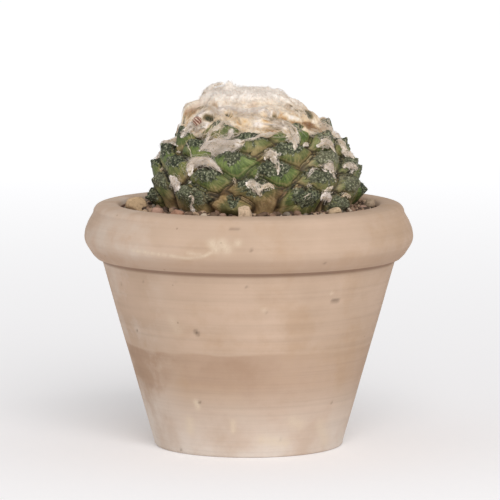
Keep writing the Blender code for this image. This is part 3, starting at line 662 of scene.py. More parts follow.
# a pale dry line where a belly ends, then painted shade, with dust and old wool, in the gap to its neighbour
gap_line_and_shade = add("Math", fine, 0.25, near, operation="MULTIPLY_ADD")
colour = coats(add, green, (olive, aged), (brown, corky), (wart_colour, worn),
               ("b5ad8c", pale, add("MapRange", blotch, 0.35, 0.6, 0.25, 0.75)),
               ("a8956c", add("MapRange", gap_line_and_shade, 0.66, 0.78),
                add("MapRange", gap_line_and_shade, 0.92, 0.82, 0.0, 0.35)),
               ("2a2013", add("MapRange", gap_line_and_shade, 0.86, 1.07, 0.0, 0.93),
                add("MapRange", blotch, 0.34, 0.52, 0.5, 1.0)))
relief = add("Math", top, worn, add("Math", streak, 0.35, operation="MULTIPLY"), operation="MULTIPLY_ADD")
relief = add("Math", fine, 0.2, relief, operation="MULTIPLY_ADD")
finish(add, colour, 0.55, (relief, 0.8, 0.9), Specular_IOR_Level=0.35)

starts = np.cumsum([0] + [len(points) for points, _, _ in tubercles])
plant_tree = tree_of(np.vstack([points for points, _, _ in tubercles]),
                     [kind + start for (_, faces, _), start in zip(tubercles, starts) for kind in faces])
tubercle_trees = [tree_of(points, faces) for points, faces, _ in tubercles]
middles = np.array([points.mean(axis=0) for points, _, _ in tubercles])
# painted shade in dark clefts that show in front between neighbours, which are pressed in as well
SHADED_CLEFTS = ((0.7, 1, 0.8, (252, 150), (249.4, 155)), (0.6, 0.8, 0.7, (257.7, 163.6), (262, 160), (268, 159)),
    (0.6, 0.7, 0.5, (242.4, 168.7), (248.8, 166.8)), (0.8, 1, 1, (187, 181), (188.8, 184.6), (194.6, 191)),
    (0.6, 0.9, 0.6, (209, 195.5), (219, 200), (229.6, 204.4)), (0.8, 0.8, 0.5, (240, 187), (241, 189)), (0.8,
    1, 1, (311, 171), (308, 175), (305.6, 178.5)), (0.8, 1, 0.8, (302, 139.7), (300.5, 144)), (0.7, 0.9, 0.8,
    (314.5, 153.7), (319.6, 152.4)), (0.8, 1, 1, (295, 185), (299, 183.7)), (0.6, 0.8, 0.6, (284, 191.5),
    (290, 189)), (0.6, 0.9, 0.6, (275, 212), (288, 208), (300.5, 204)), (0.8, 1, 0.7, (343, 166),
    (346, 167)), (0.7, 0.9, 0.8, (345, 193.9), (353.4, 193.2)), (0.8, 0.9, 0.7, (331, 199), (332, 203)),
    (0.7, 0.8, 0.6, (177, 178), (181, 181)), (0.8, 0.9, 0.8, (157, 188), (161, 194)), (0.8, 0.9, 0.6,
    (153, 203), (162, 206)), (0.6, 0.7, 0.5, (166, 160), (170, 163)), (0.8, 0.8, 0.6, (188, 155),
    (192, 160)))
GAP = 3.0
REACH_SQUARED = 420.0
for name, members in groups.items():
    for own in members:
        points, faces, marks = tubercles[own]
        away = np.full(len(points), GAP)
        for k in np.argsort(np.linalg.norm(middles - middles[own], axis=1))[1:9]:
            close = np.sum((points[:, :2] - middles[k, :2]) ** 2, axis=1) < REACH_SQUARED
            for i in np.flatnonzero(close):
                found = tubercle_trees[k].find_nearest(points[i], float(away[i]))[3]
                if found is not None:
                    away[i] = found
        share = 1.0 - away / GAP
        cleft_shade, deep = marked(points, SHADED_CLEFTS, [plant_tree])
        # near marks where a neighbour lies close and where a cleft shows; the skin paints it as shade
        marks["near"] = np.maximum(share, cleft_shade)
        tubercles[own] = (points - outward[own] * (share ** 2 * 1.4 + deep)[:, None], faces, marks)
    add_piece(name, *joined([tubercles[own] for own in members]), skin, "green_skin", ["ariocarpus_body"])

# Stem and root
# The tubercles grow from a short stem, brown and corky deep in the gaps, which goes down into
# a turnip-shaped root in the soil.
STEM_SIDES = 64
STEM_TOP, ROOT_TIP = 148.5, 45.0
stem_outline = smooth_run([(0.0, STEM_TOP), (9.3, 147.0), (18.5, 144.3), (25.0, 140.6), (29.5, 136.5),
                           (33.2, 131.0), (37.5, 123.5), (38.2, 115.0), (38.0, 112.0), (38.0, 103.0),
                           (34.0, 97.0), (27.0, 87.0), (20.0, 75.0), (12.0, 61.0), (5.0, 50.0),
                           (0.0, ROOT_TIP)], 3)[1:-1]
stem_points = []
for r, z in stem_outline:
    for a in circle(STEM_SIDES):
        reach = r - 0.3 + 0.35 * lump((r * math.cos(a), r * math.sin(a), z), 3.0)
        stem_points.append((PLANT_X + reach * math.cos(a), reach * math.sin(a), z))
stem_points += [(PLANT_X, 0, STEM_TOP), (PLANT_X, 0, ROOT_TIP)]
# Cork, dead and rough: near black where it is damp and brown on its ridges, 3 mm from one to the next.
cork, add, here = new_material("corky_stem")
bark = add("TexNoise", here, Scale=1000 / 3.333, Detail=6.0)
colour = add("ValToRGB", bark, stops=((0.3, "1f1a10"), (0.55, "3b3520"), (0.75, "5f5032")))
finish(add, colour, 0.9, (bark, 0.7, 1.0))
add_piece("stem_and_root", stem_points, capped(len(stem_outline), STEM_SIDES), {}, cork, "green_skin")

# Crown wool
# Felted hair that the growing point pushes out: a fluffy white mound left of the middle, on a
# matted cream skirt that reaches down between the upper noses and hangs over them in strings.
FELT_RINGS, FELT_SIDES = 90, 300
MOUND_X, MOUND_TOP = -6.0, 162.0
FREE_REACH = 31.5
FELT_THICK = 1.2
DOME_R, DOME_Z = np.array(DOME, float).T
# heaps and hollows of the felt: x, y, rise and width
HEAPS = ((-31.5, -1, 6.8, 7.2), (29.5, 1, -3.5, 5), (28, 9, -3.5, 5), (25.5, 16, -3, 5),
    (-12.4, 0, 3.9, 2.7), (-18.8, 0, -3.2, 1.9), (-22, -1, 1.6, 2.4), (5.4, 0, 2.2, 2.4), (-1.5, 2, -1.3, 4),
    (10, 1, 1.2, 3), (18, 2, 1.6, 4.5), (-20, 14, 0.6, 5), (-21.5, -17.5, -6, 3), (-15, -23.5, -6, 2.6),
    (24, -19, -5, 2.6))


def wool_height(x, y):
    """Top of the felt, x and y from the plant's own axis."""
    r = math.hypot(x, y)
    mound = 1 / (1 + math.exp((math.hypot(x - MOUND_X, y) - 18.0) / (1.9 + 0.03 * x)))
    clumps = lump((x, y, 3.0), 6.0) + 0.6 * lump((x, y, 3.0), 3.0) + 0.45 * lump((x, y, 3.0), 1.4)
    skirt = float(np.interp(r, DOME_R, DOME_Z)) + 1.2 - 4.2 * (r / 38) ** 6
    heaps = sum(rise * math.exp(-((x - hx) ** 2 + (y - hy) ** 2) / wide ** 2) for hx, hy, rise, wide in HEAPS)
    return skirt + (MOUND_TOP - skirt) * mound + heaps + clumps * (0.8 + 0.4 * mound)


def comb(x, y):
    """Ridges a hair bundle wide that wander over the felt."""
    heading = math.atan2(y, x) + math.pi / 2 + 1.6 * lump((x, y, 5.0), 9.0)
    across = -x * math.sin(heading) + y * math.cos(heading)
    along = x * math.cos(heading) + y * math.sin(heading)
    return noise.noise(Vector((across / 1.1, along / 8.0, 2.0))) + 0.6 * lump((x, y, 1.0), 1.1)


# where the felt's lower edge shows in front, in the frame's points; round the back it has a
# wandering edge of no set place
EDGE = ((181, 133), (186, 133.5), (190.5, 131), (196, 130), (201, 129.4), (206, 129), (210, 127.5),
    (216, 126.5), (223, 125.4), (229, 124.5), (235, 122.4), (241, 122.4), (246, 122.2), (250, 122),
    (254, 123.4), (258, 124.6), (262, 125.4), (268, 126.6), (274, 128.2), (280, 131), (286, 133), (291, 133),
    (296, 130), (299, 127), (303, 125))


def from_front(turn):
    """An angle round the plant, measured from the side that faces the camera."""
    return (turn + 1.5 * math.pi) % math.tau - math.pi


edge_spots = [seen_at(*spot, [plant_tree]) - Vector((PLANT_X, 0, 0)) for spot in EDGE]
edge_turns, edge_reach = np.array(sorted(
    (from_front(math.atan2(spot.y, spot.x)), math.hypot(spot.x, spot.y)) for spot in edge_spots
    if math.hypot(spot.x, spot.y) > 26.0 and spot.y < 3.0)).T


def felt_edge(a):
    """How far out the felt reaches."""
    around = Vector((math.cos(a), math.sin(a), 2.0))
    free = FREE_REACH * (1.0 + 0.14 * noise.noise(around * 1.9) + 0.07 * noise.noise(around * 7.0))
    turn = from_front(a)
    share = smooth_step(edge_turns[0] - 1.1, edge_turns[0] - 0.3, turn)
    share *= 1 - smooth_step(edge_turns[-1], edge_turns[-1] + 0.35, turn)
    return free + (float(np.interp(turn, edge_turns, edge_reach)) - free) * share


def met_below(surface, x, y, otherwise):
    """Height at which a surface is met from straight above."""
    met = surface.ray_cast(Vector((x, y, 200.0)), Vector((0, 0, -1)))[0]
    return otherwise if met is None else met.z


felt_points = []
for ring in range(1, FELT_RINGS + 1):
    for a in circle(FELT_SIDES):
        reach = felt_edge(a) * ring / FELT_RINGS
        x, y = reach * math.cos(a), reach * math.sin(a)
        z = wool_height(x, y)
        # the last rings are drawn down onto the plant, over a longer way in front
        ground = met_below(plant_tree, x + PLANT_X, y, z)
        z += (min(z, ground + 0.5) - z) * smooth_step(80 - 14 * max(0.0, -math.sin(a)) ** 2, 89, ring)
        felt_points.append((x + PLANT_X, y, z + 0.42 * comb(x, y)))
felt_points += [(x, y, z - FELT_THICK) for x, y, z in felt_points[-FELT_SIDES:]]
felt_points += [(PLANT_X, 0.0, wool_height(0, 0)), (PLANT_X, 0.0, 147.0)]
felt_faces = capped(FELT_RINGS + 1, FELT_SIDES)
# where a hair is as near to two faces, the order of their corners decides: the end faces start at the tip
felt_tree = tree_of(felt_points, [felt_faces[0], np.roll(felt_faces[1], 1, axis=1)])

# Dead-matt hair with a soft sheen: white where it is fresh, cream and tan where it is older
# and rained on, with a rusty stain here and there. Single hairs are too fine to show, so the
# fibre is drawn at 0.7 mm.
hair, add, here = new_material("plant_wool")
tone, hole = [add("Attribute", out=2, attribute_name=name) for name in ("tone", "hole")]
cloud = add("TexNoise", here, Scale=1000 / 10.53, Detail=4.0, Roughness=0.55)
fibre = add("TexNoise", here, Scale=1000 / 0.7143, Detail=4.0, Roughness=0.7)
matted = add("TexNoise", here, Scale=1000 / 1.613, Detail=5.0, Roughness=0.7)
aged = add("ValToRGB", tone, stops=((0.0, "a97443"), (0.18, "cb9f6c"), (0.38, "e2c49b"), (0.58, "efd9bb"),
                                    (0.8, "f6e8d6"), (1.0, "f9ede4")))
fresh = add("Math", cloud, 0.010, add("SeparateXYZ", here, out=2), operation="MULTIPLY_ADD")
fresh = add("MapRange", fresh, 0.1570, 0.1660)
old = add("Math", 1.0, fresh, operation="SUBTRACT")
# the last layer is painted shade: in the felt's holes, where the dark between the noses shows, and in its
# creases
shade = add("ValToRGB", hole, stops=((0.2, "dcc8aa"), (0.55, "92805c"), (0.85, "454733")))
colour = coats(add, aged, ("fdf3e9", fresh), ("cfa877", old, add("MapRange", cloud, 0.58, 0.75, 0.0, 0.45)),
               ("b9a385", add("MapRange", matted, 0.47, 0.33, 0.0, 0.45)),
               ("b8a08a", old, add("MapRange", fibre, 0.46, 0.34, 0.0, 0.5)),
               (shade, add("MapRange", hole, 0.08, 0.5)))
# the hair also glows a little in its own colour: painted light standing in for light passing through it
finish(add, colour, 1.0, (add("Math", matted, 2.0, fibre, operation="MULTIPLY_ADD"), 0.8, 0.6),
       Specular_IOR_Level=0.1, Sheen_Weight=0.25, Sheen_Roughness=0.6, Emission_Color=colour,
       Emission_Strength=0.12)

# painted shade in small holes and creases that show in front, with the dark between noses behind them; they
# are pressed in as well
SHADED_FOLDS = ((0.6, 1, 0.9, (226, 115.2), (231.5, 115.4)), (1.7, 1, 1.6, (205.5, 117), (211.5, 119)), (1, 1, 1.2,
    (214.8, 121.2), (219.5, 121.4)), (0.9, 1, 1, (223.5, 124.7)), (0.8, 0.95, 0.8, (210.6, 125.4)), (0.6, 1,
    0.9, (199.4, 108.4), (202.4, 106.4)), (0.5, 0.8, 0.6, (206.6, 105.1)), (0.9, 0.9, 0.6, (184, 117),
    (183, 124)), (0.6, 0.5, 1.3, (236, 114.4), (243, 115), (250, 115.2), (258, 115.6), (262, 117.2),
    (268, 119.6)), (0.7, 0.8, 1, (264.5, 118.8), (269.4, 119.8)), (1.1, 0.7, 1.6, (274.4, 115.6),
    (275, 117.6)), (0.6, 0.42, 1, (237, 117.5), (239.4, 121.5), (240.6, 124.4)), (0.5, 0.5, 0.5,
    (245.5, 107.2)), (0.7, 0.6, 0.8, (266.6, 108.6)), (0.8, 0.6, 0.9, (291.4, 107.9)), (0.6, 0.6, 0.7,
    (296, 112)), (0.7, 0.5, 0.7, (300.4, 109), (303, 113)), (1.8, 1, 1, (307, 111.5), (311, 115.5)), (0.9,
    0.7, 1, (282, 122.8), (292, 124.6), (302, 125)), (0.6, 0.35, 0.7, (232, 119), (236, 123)), (0.7, 0.3,
    0.9, (212, 103), (214.5, 106), (213.5, 109)), (0.7, 0.5, 0.5, (188, 112), (187, 116)), (0.5, 0.55, 0.6,
    (266, 131), (273, 129.2), (282, 130)), (0.8, 0.22, 0.7, (253, 104), (261, 103), (270, 103.6)), (0.9, 0.2,
    0.8, (225, 102), (236, 103.6), (244, 102.4)), (0.7, 0.25, 0.8, (277, 104), (284, 107), (290, 111)))
# rolls and strands of hair that stand up from it
RIDGES = ((0.8, 1, 1.3, (220.9, 110.3), (231.6, 109.4), (240.5, 111), (247.6, 112.8), (255.7, 112.6),
    (263.7, 110.2)), (2.4, 0.5, 1.2, (240, 119), (249.4, 117.4), (258, 119), (264, 122)), (0.6, 0.8, 1.1,
    (271.6, 111.6), (271, 115), (271.8, 118)), (0.7, 0.5, 0.9, (276.6, 113.4), (278.6, 117), (276, 119.4)),
    (1, 0.8, 1.1, (212, 112), (204, 114), (196, 117.4)), (1.5, 0.9, 1.2, (192, 123), (200, 124.6),
    (208, 124.4)), (1.2, 0.4, 0.9, (222, 119), (229, 121), (233, 125)), (1.3, 0.9, 1, (256, 125),
    (266, 125.4), (276, 126.6), (285, 129.4)), (1.1, 0.4, 1, (214, 98), (219, 103), (220.6, 108)), (1.3, 0.4,
    0.9, (283, 113), (292, 118), (300, 121)), (1.6, 0.3, 1, (276, 97), (283, 99.4), (288, 103)))
# where rain and age have turned it tan, and painted tan shade under its folds and strands
STAINS_AND_TAN_SHADE = ((2.2, 0.9, 0, (187, 113), (193, 109.4), (199, 105)), (1.2, 0.7, 0, (236, 118), (238.6, 123)), (1,
    0.6, 0, (264, 121), (270, 121.6)), (1.3, 0.8, 0, (278, 119), (288, 122), (299, 123.4)), (1.8, 0.45, 0,
    (208, 101), (216, 106)), (2.2, 0.4, 0, (240, 103), (252, 106)), (1.5, 0.5, 0, (276, 95), (284, 98)),
    (1.6, 0.55, 0, (288, 107), (294, 108)), (1.3, 0.7, 0, (274, 114), (276, 118)), (1.6, 1, 0, (300, 124),
    (310, 126)), (1.6, 0.3, 0, (252, 119), (244, 121)), (1.4, 0.5, 0, (211, 110), (214, 106)), (0.9, 0.6, 0,
    (268, 131), (284, 132)))
hole, deep = marked(felt_points, SHADED_FOLDS, [felt_tree])
roll, raised = marked(felt_points, RIDGES, [felt_tree])
stain = marked(felt_points, STAINS_AND_TAN_SHADE, [felt_tree])[0]
felt_tone = np.array([0.56 + 0.42 * lump(p, 5.0) + 0.3 * lump(p, 1.6) for p in felt_points])
inward = unit([(PLANT_X - x, -y, -18.0) for x, y, _ in felt_points])
add_piece("crown_felt", felt_points + inward * (deep - raised)[:, None], felt_faces,
          {"tone": np.clip(felt_tone + 0.4 * roll - 0.62 * stain, 0.0, 1.0), "hole": hole}, hair, "wool",
          ["crown_wool"])

grounds = (plant_tree, felt_tree)


def onto(point, lift):
    """The point, or if it lies under wool or plant, the place at that lift above them."""
    spot = Vector(point)
    for surface in grounds:
        near, normal, _, _ = surface.find_nearest(spot)
        if (spot - near).dot(normal) < lift and (spot - near).length < 6.0:
            spot = near + normal * lift
    return spot


def settled(x, y, lift):
    """The place at a lift over wool or plant, met from straight above, but never deep in a gap."""
    lowest = float(np.interp(math.hypot(x - PLANT_X, y), DOME_R, DOME_Z)) - 4.0
    return Vector((x, y, max(lowest, *(met_below(surface, x, y, lowest) for surface in grounds)) + lift))


def face_near(spot):
    """Outward direction of the wool or plant at a place, whichever is nearer."""
    return min((surface.find_nearest(Vector(spot)) for surface in grounds), key=lambda hit: hit[3])[1]


def clot(spot):
    """Lumps and creases of matted wool, from about -1 in a crease to 1 on a lump."""
    return 0.9 * lump(spot, 1.6) + 0.9 * lump(spot, 0.75) + 0.6 * lump(spot, 0.4)


felt_finder = KDTree(len(felt_points))
for number, spot in enumerate(felt_points):
    felt_finder.insert(spot, number)
felt_finder.balance()


def tubes(name, hairs):
    """Three-sided hairs, pointed at both ends, as one piece. Each is its path, all paths of equal
    length, its thickness, its tone, and how strongly painted shade darkens its creases."""
    paths, thickness, tones, crease_shade_weight = [np.array(column) for column in zip(*hairs)]
    count, steps = paths.shape[:2]
    # hair that lies on the felt takes on its painted fold shade, its stains and painted tan shade
    spots = paths.reshape(-1, 3).tolist()
    found = [felt_finder.find(spot) for spot in spots]
    close = np.array([away < 1.6 for _, _, away in found], float)
    nearest = np.array([index for _, index, _ in found])
    tones = np.repeat(tones, steps) + close * (0.3 * roll[nearest] - 0.62 * stain[nearest])
    # painted shade in the hair's own creases and, on the felt, in its folds
    creases = -np.repeat(crease_shade_weight, steps) * [clot(spot) for spot in spots] - 0.1
    hair_crease_shade = np.maximum(0.8 * close * hole[nearest], np.clip(creases, 0.0, 0.62))
    along = unit(np.gradient(paths, axis=1))
    side = unit(np.cross(along, (0.31, 0.22, 0.93)))
    up = np.cross(side, along)
    share = np.linspace(0, 1, steps)
    taper = np.clip(np.minimum(share, 1 - share) * 5, 0.12, 1.0)[:, None] ** 0.7
    thickness = thickness[:, None, None] * taper
    corners = [paths + thickness * (math.cos(a) * side + math.sin(a) * up) for a in (0.0, 2.094, 4.189)]
    points = np.stack(corners, axis=2)
    starts = np.arange(count)[:, None] * steps * 3
    quads = (grid_faces(steps, 3)[:, ::-1] + starts[:, :, None]).reshape(-1, 4)
    ends = np.vstack([starts + (0, 1, 2), starts + steps * 3 - (1, 2, 3)])
    add_piece(name, points.reshape(-1, 3), [quads, ends],
              {"tone": np.repeat(np.clip(tones, 0, 1), 3), "hole": np.repeat(hair_crease_shade, 3)}, hair, "wool")


# fine strings that lie on the felt, mostly along the folds, each walked step by step
STRINGS, STRING_STEPS, STRING_REACH = 900, 13, 33.0
draw = random.Random(77)
strings = []
for _ in range(STRINGS):
    a, r = draw.uniform(0, math.tau), STRING_REACH * math.sqrt(draw.random())
    x, y = r * math.cos(a), r * math.sin(a)
    heading = a + draw.choice((-1, 1)) * math.pi / 2 + draw.gauss(0, 0.55)
    bend, pace, lift = draw.gauss(0, 0.14), draw.uniform(0.5, 1.3), draw.uniform(0.0, 0.9) ** 2
    thick = draw.uniform(0.05, 0.13)
    path = []
    for share in np.linspace(0, 1, STRING_STEPS):
        path.append(settled(x + PLANT_X, y, lift * math.sin(share * math.pi) + thick * 0.5))
        heading += bend + draw.gauss(0, 0.18)
        x, y = x + pace * math.cos(heading), y + pace * math.sin(heading)
        if math.hypot(x, y) > STRING_REACH:
            heading = math.atan2(y, x) + math.pi / 2
    strings.append((path, thick, draw.gauss(0.68, 0.14), 0.0))
tubes("crown_strings", strings)

# loose fine hair that stands up from the mound and blurs its outline
FLUFF, FLUFF_REACH = 2450, 19.5
fluff = []
for _ in range(FLUFF):
    a, r = draw.uniform(0, math.tau), FLUFF_REACH * math.sqrt(draw.random())
    x, y = r * math.cos(a) + MOUND_X, r * math.sin(a)
    place = Vector((x + PLANT_X, y, wool_height(x, y) - 0.3))
    heading = Vector((draw.gauss(0, 1), draw.gauss(0, 1), draw.uniform(0.3, 1.4))).normalized()
    curl = Vector((draw.gauss(0, 1), draw.gauss(0, 1), draw.gauss(0, 0.5))) * 0.5
    path = []
    for _ in range(8):
        path.append(place.copy())
        place += heading * draw.uniform(0.3, 0.52)
        heading = (heading + curl * 0.5 + Vector((0, 0, -0.24))).normalized()
        curl = (curl + Vector((draw.gauss(0, 1), draw.gauss(0, 1), draw.gauss(0, 1))) * 0.3) * 0.9
    fluff.append((path, draw.uniform(0.04, 0.08), draw.gauss(0.85, 0.1), 0.0))
tubes("crown_fluff", fluff)

# Hanging strings and furrow tufts
# Older wool stays in each tubercle's furrow as a matted tuft. From the crown, and from tuft to
# tuft, strings of it hang over the warty faces.
PAD_SIDES, HAIR_STEPS = 20, 11
DRAPES = 27
FIRST_TUFT, LAST_TUFT = 27, 56


def felt_pad(rows, side, out, tone):
    """A lumpy ridge of felt along a path, painted lighter on its lumps and with painted shade in its creases.
    """
    points, lumps = [], []
    for (x, y, z, width), across, up in zip(rows, side, out):
        for a in circle(PAD_SIDES):
            rise = width * (0.21 if math.sin(a) > 0 else 0.12) * math.sin(a)
            spot = (x, y, z) + across * math.cos(a) * width * 0.4 + up * rise
            lumps.append(clot(spot))
            swell = lumps[-1] * min(0.9, width * 0.3)
            points.append(spot + (across * math.cos(a) + up * max(0.0, math.sin(a))) * swell)
    points += [np.mean(points[:PAD_SIDES], axis=0), np.mean(points[-PAD_SIDES:], axis=0)]
    lumps = np.array(lumps + [0.0, 0.0])
    return (points, [kind[:, ::-1] for kind in capped(len(rows), PAD_SIDES)],
            {"tone": tone + 0.28 * lumps, "hole": np.clip(-lumps, 0.0, 0.6)})


def bundle(path, widths, count, tone, draw, hairs, pads, raised=0.0):
    """Hairs along a path on the plant, each with its own start, end and wander, added to hairs.
    Where they are wide and aren't raised, they lie over a felt pad, added to pads."""
    rows = smooth_run(np.column_stack([path, widths]), 6)
    for _ in range(3):
        rows[1:-1, :3] = (rows[:-2, :3] + 2 * rows[1:-1, :3] + rows[2:, :3]) / 4
    out = np.array([face_near(row[:3])[:] for row in rows])
    for _ in range(4):
        out[1:-1] = (out[:-2] + out[1:-1] + out[2:]) / 3
    side = unit(np.cross(out, unit(np.gradient(rows[:, :3], axis=0))))
    if max(widths) > 1.5 and not raised:
        pads.append(felt_pad(rows, side, out, tone))
    for _ in range(count):
        first, last = draw.uniform(0.0, 0.35), draw.uniform(0.6, 1.0)
        shares = np.linspace(first, last, HAIR_STEPS) * (len(rows) - 1.001)
        stray = draw.random() < 0.4
        offset = draw.uniform(-1, 1) * (1.7 if stray else 1)
        drift, heap = draw.uniform(-1.4, 1.4), draw.random()
        phase, curl = draw.uniform(0, math.tau), draw.uniform(0.1, 0.5)
        hair_path = []
        for k, share in enumerate(shares):
            low, part = int(share), share % 1
            here = rows[low] * (1 - part) + rows[low + 1] * part
            place = offset + drift * (k / HAIR_STEPS - 0.5) + curl * math.sin(phase + k * 0.9)
            heaped = here[3] * 0.3 * max(0.0, 1 - place * place) * (0.85 + 0.7 * heap) + 0.25 * heap
            spot = here[:3] + side[low] * place * here[3] * 0.52 + out[low] * heaped
            spot += (out[low] + side[low] * place) * 0.5 * clot(spot)
            arched = face_near(spot) * raised * math.sin(share / len(rows) * math.pi)
            hair_path.append(onto(spot, 0.12 + heaped) + arched)
        thick = draw.uniform(0.03, 0.06) if stray else draw.uniform(0.05, 0.11)
        hairs.append((hair_path, thick, draw.gauss(tone, 0.15), 0.25 if raised else 0.9))


# the strings that show in front: hairs, tone, how far raised in mm, and the path as places in the
# frame with a width in mm. First the hanging ones and the tufts, then the folds of the crown.
FRONT_STRINGS = ((150, 0.95, 0, (199, 151, 0.8), (204, 147.5, 2.4), (211, 146, 5.4), (219, 147.5, 7),
    (228, 147.5, 7), (236, 144.5, 5), (245, 141, 2.4)), (22, 0.95, 0.9, (240, 142, 1.6), (250, 139.5, 0.8),
    (262, 137.3, 0.7), (274, 133.5, 0.9), (284, 132, 1.4)), (85, 0.9, 0, (191, 175, 3), (190.5, 168, 4),
    (194, 163, 4.2), (201, 161.5, 3.8), (208, 161.5, 3.4), (214, 165, 2.4), (219, 170, 1.3),
    (222.5, 173.5, 0.5)), (5, 0.8, 0, (183, 135, 0.7), (188, 143.5, 0.6), (191, 151, 0.6),
    (194.5, 161, 0.9)), (45, 1, 0, (170, 176, 1.2), (174, 180, 3.4), (178, 186, 4.2), (179, 190, 2.5)), (20,
    0.85, 0, (188.6, 197, 0.7), (191.5, 196, 0.9), (193.5, 200.4, 1), (191.2, 205, 1.3), (193.1, 210.4, 2),
    (196, 215, 2.6)), (38, 0.9, 0, (160, 148, 1.6), (164, 143.5, 2.8), (168, 141.8, 2.8), (173, 143.5, 1.5),
    (178, 146, 0.6)), (50, 0.8, 0, (247, 186.5, 2.4), (250.5, 183.5, 3.2), (254.5, 185.5, 3.2),
    (258, 190, 2.8), (261, 196, 1.4)), (22, 0.75, 0, (261, 190, 1.4), (265, 187, 2.2), (270, 185.5, 2),
    (274, 188.5, 0.9)), (7, 0.45, 0, (233.5, 176.5, 0.9), (235.5, 182, 0.8), (237, 189, 1)), (42, 0.85, 0,
    (264.5, 160, 1.2), (268, 155, 2.8), (273, 153.5, 3.2), (277, 156, 2.4)), (36, 0.85, 0, (272, 156, 3.2),
    (274.5, 162, 2.6), (277.5, 167, 1.6), (278, 175, 0.8)), (4, 0.85, 0, (278, 163.5, 0.7), (281, 166, 0.5),
    (284.5, 170, 0.4)), (5, 0.85, 0, (277, 156, 1), (280, 154.5, 0.7), (284, 153, 0.5)), (42, 0.8, 0,
    (287, 135, 3.4), (291, 139, 3.4), (294, 144, 2.4), (295, 150, 1)), (12, 0.8, 0, (303, 146, 1),
    (305.5, 144.3, 1.7), (308.5, 145.5, 1)), (60, 0.8, 0, (316.5, 146.5, 1), (320, 144.5, 1.8),
    (324, 141, 3), (328, 143, 3.4), (331, 147, 2.8), (334.5, 152, 1.2)), (7, 0.8, 0, (320, 145, 0.9),
    (322.5, 148.5, 0.8), (320.5, 151, 0.6)), (36, 0.8, 0, (337.5, 140, 2), (340.5, 142.5, 2.8),
    (343.5, 147.5, 2.6), (346, 154, 1.4)), (14, 0.95, 0, (307.5, 179.5, 0.6), (310.5, 174, 1.1),
    (314, 169.5, 1.3), (318.5, 169.5, 0.8)), (46, 0.95, 0, (325, 172, 2.2), (327.5, 167, 3.6),
    (330.5, 168, 3.6), (331, 172.5, 2)), (12, 0.8, 0, (329, 171, 1.8), (333, 176, 1), (336, 182, 0.6)), (9,
    0.7, 0, (303, 200, 0.7), (307.5, 196.5, 1.1), (312, 194.5, 0.8)), (42, 0.95, 0, (320.5, 199, 2.2),
    (324.5, 195.5, 3.2), (328, 197.5, 3), (329, 202, 1.6)), (7, 0.85, 0, (327, 196, 1.2), (330, 193.5, 0.8),
    (333, 191.5, 0.5)), (46, 0.85, 0, (343, 167.5, 1.2), (347, 165.6, 2), (351, 166, 2.2),
    (354.5, 167.6, 2.4), (357, 169.5, 1.3)), (12, 0.7, 0, (324, 191, 0.9), (328.5, 188.5, 1.6),
    (333, 186.5, 1)), (14, 0.6, 0, (341, 197, 1.2), (345.5, 195, 1.9), (350.5, 197.5, 1.2)), (60, 0.9, 1.4,
    (213, 108, 0.6), (222, 109, 0.9), (233, 110, 1.2), (246, 112.5, 1.3), (256, 112, 1.2), (264, 109.5, 1),
    (270, 106, 0.8)), (26, 0.85, 1, (262, 110, 1.2), (268, 113, 1), (269, 118, 0.8), (272, 121, 0.8)), (22,
    0.8, 1, (272, 111, 0.8), (278, 113.5, 0.8), (277, 119, 0.8), (271, 121, 0.6)), (30, 0.9, 0.9,
    (186, 128, 0.9), (193, 121.5, 0.8), (200, 114.5, 0.7), (207, 110, 0.8), (214, 107, 1)), (40, 0.85, 0.8,
    (205, 103, 1.2), (213, 108, 1.4), (221, 114, 1.4), (229, 120, 1.2)), (40, 0.75, 0.3, (230, 120, 2),
    (238, 117, 3.4), (249, 116, 3.8), (258, 118, 3.4), (265, 121, 2)), (80, 0.8, 0, (262, 118, 2),
    (272, 121, 3), (282, 123, 3.4), (290, 128, 3.6), (296, 136, 3.2), (298, 144, 1.4)), (50, 0.75, 0,
    (256, 123, 1.6), (266, 125.5, 2.2), (275, 127, 2.4), (284, 130.5, 2.4), (290, 137, 1.5)), (75, 0.95, 0,
    (207, 127, 3), (199, 126, 4.6), (191, 127.5, 4.6), (184, 131, 2.2)), (9, 0.85, 0, (196, 127, 1.4),
    (200.5, 134, 0.8), (205, 143.5, 0.6)), (18, 0.8, 0, (216, 127, 2.6), (209.5, 135, 1.6),
    (205.5, 144, 0.8)), (34, 0.75, 0, (230, 121, 2.2), (221, 126, 2.6), (213, 130, 1.8)), (22, 0.95, 0,
    (181, 137.5, 1.4), (184, 133, 2.4), (188, 130, 2)), (30, 0.45, 0, (188, 120, 0.9), (192, 114, 1.4),
    (199, 109, 1.4), (206, 106, 1.2)), (40, 0.7, 0, (283, 103, 1.6), (290, 107, 2), (296, 112, 1.8),
    (300, 118, 1.2)), (50, 0.22, 0, (301, 125, 1.6), (306, 126.5, 2.6), (311, 127.5, 3), (317, 128, 2)), (50,
    0.85, 0, (316, 126, 2), (322, 125.8, 2.8), (328, 127.8, 2.8), (333, 131, 1.4)), (36, 0.85, 0,
    (183, 125, 1.6), (179, 126.4, 2.4), (176.4, 129.6, 2.4), (174.6, 133, 1.2)), (24, 1, 0, (228, 139, 1),
    (230.5, 134, 2.2), (231.5, 129, 1.6)), (20, 0.3, 0, (311, 129.5, 2.2), (317, 131, 2.4),
    (324, 133.5, 1.4)))
front, front_pads = [], []
draw = random.Random(31)
for count, tone, raised, *places in FRONT_STRINGS:
    bundle([seen_at(px, py, grounds) for px, py, _ in places], [width for _, _, width in places], count, tone,
           draw, front, front_pads, raised)
# a loop of hair stands off the mound at its upper left, with daylight under it; at the plant's
# axis a point of the frame is 0.4554 mm wide and 0.4585 mm high
arch = [((px - 248.7) * 0.4554, -3.0, 105.95 + (213 - py) * 0.4585) for px, py in (
    (205, 97), (206, 92.4), (208.6, 89), (212, 87), (215, 85.2), (219, 84.6), (224, 83.4))]
bundle(arch, (2.2, 2.0, 1.7, 1.3, 1.5, 2.0, 2.4), 110, 0.75, draw, front, front_pads)
tubes("front_strings", front)
add_piece("front_felt", *joined(front_pads), hair, "wool")

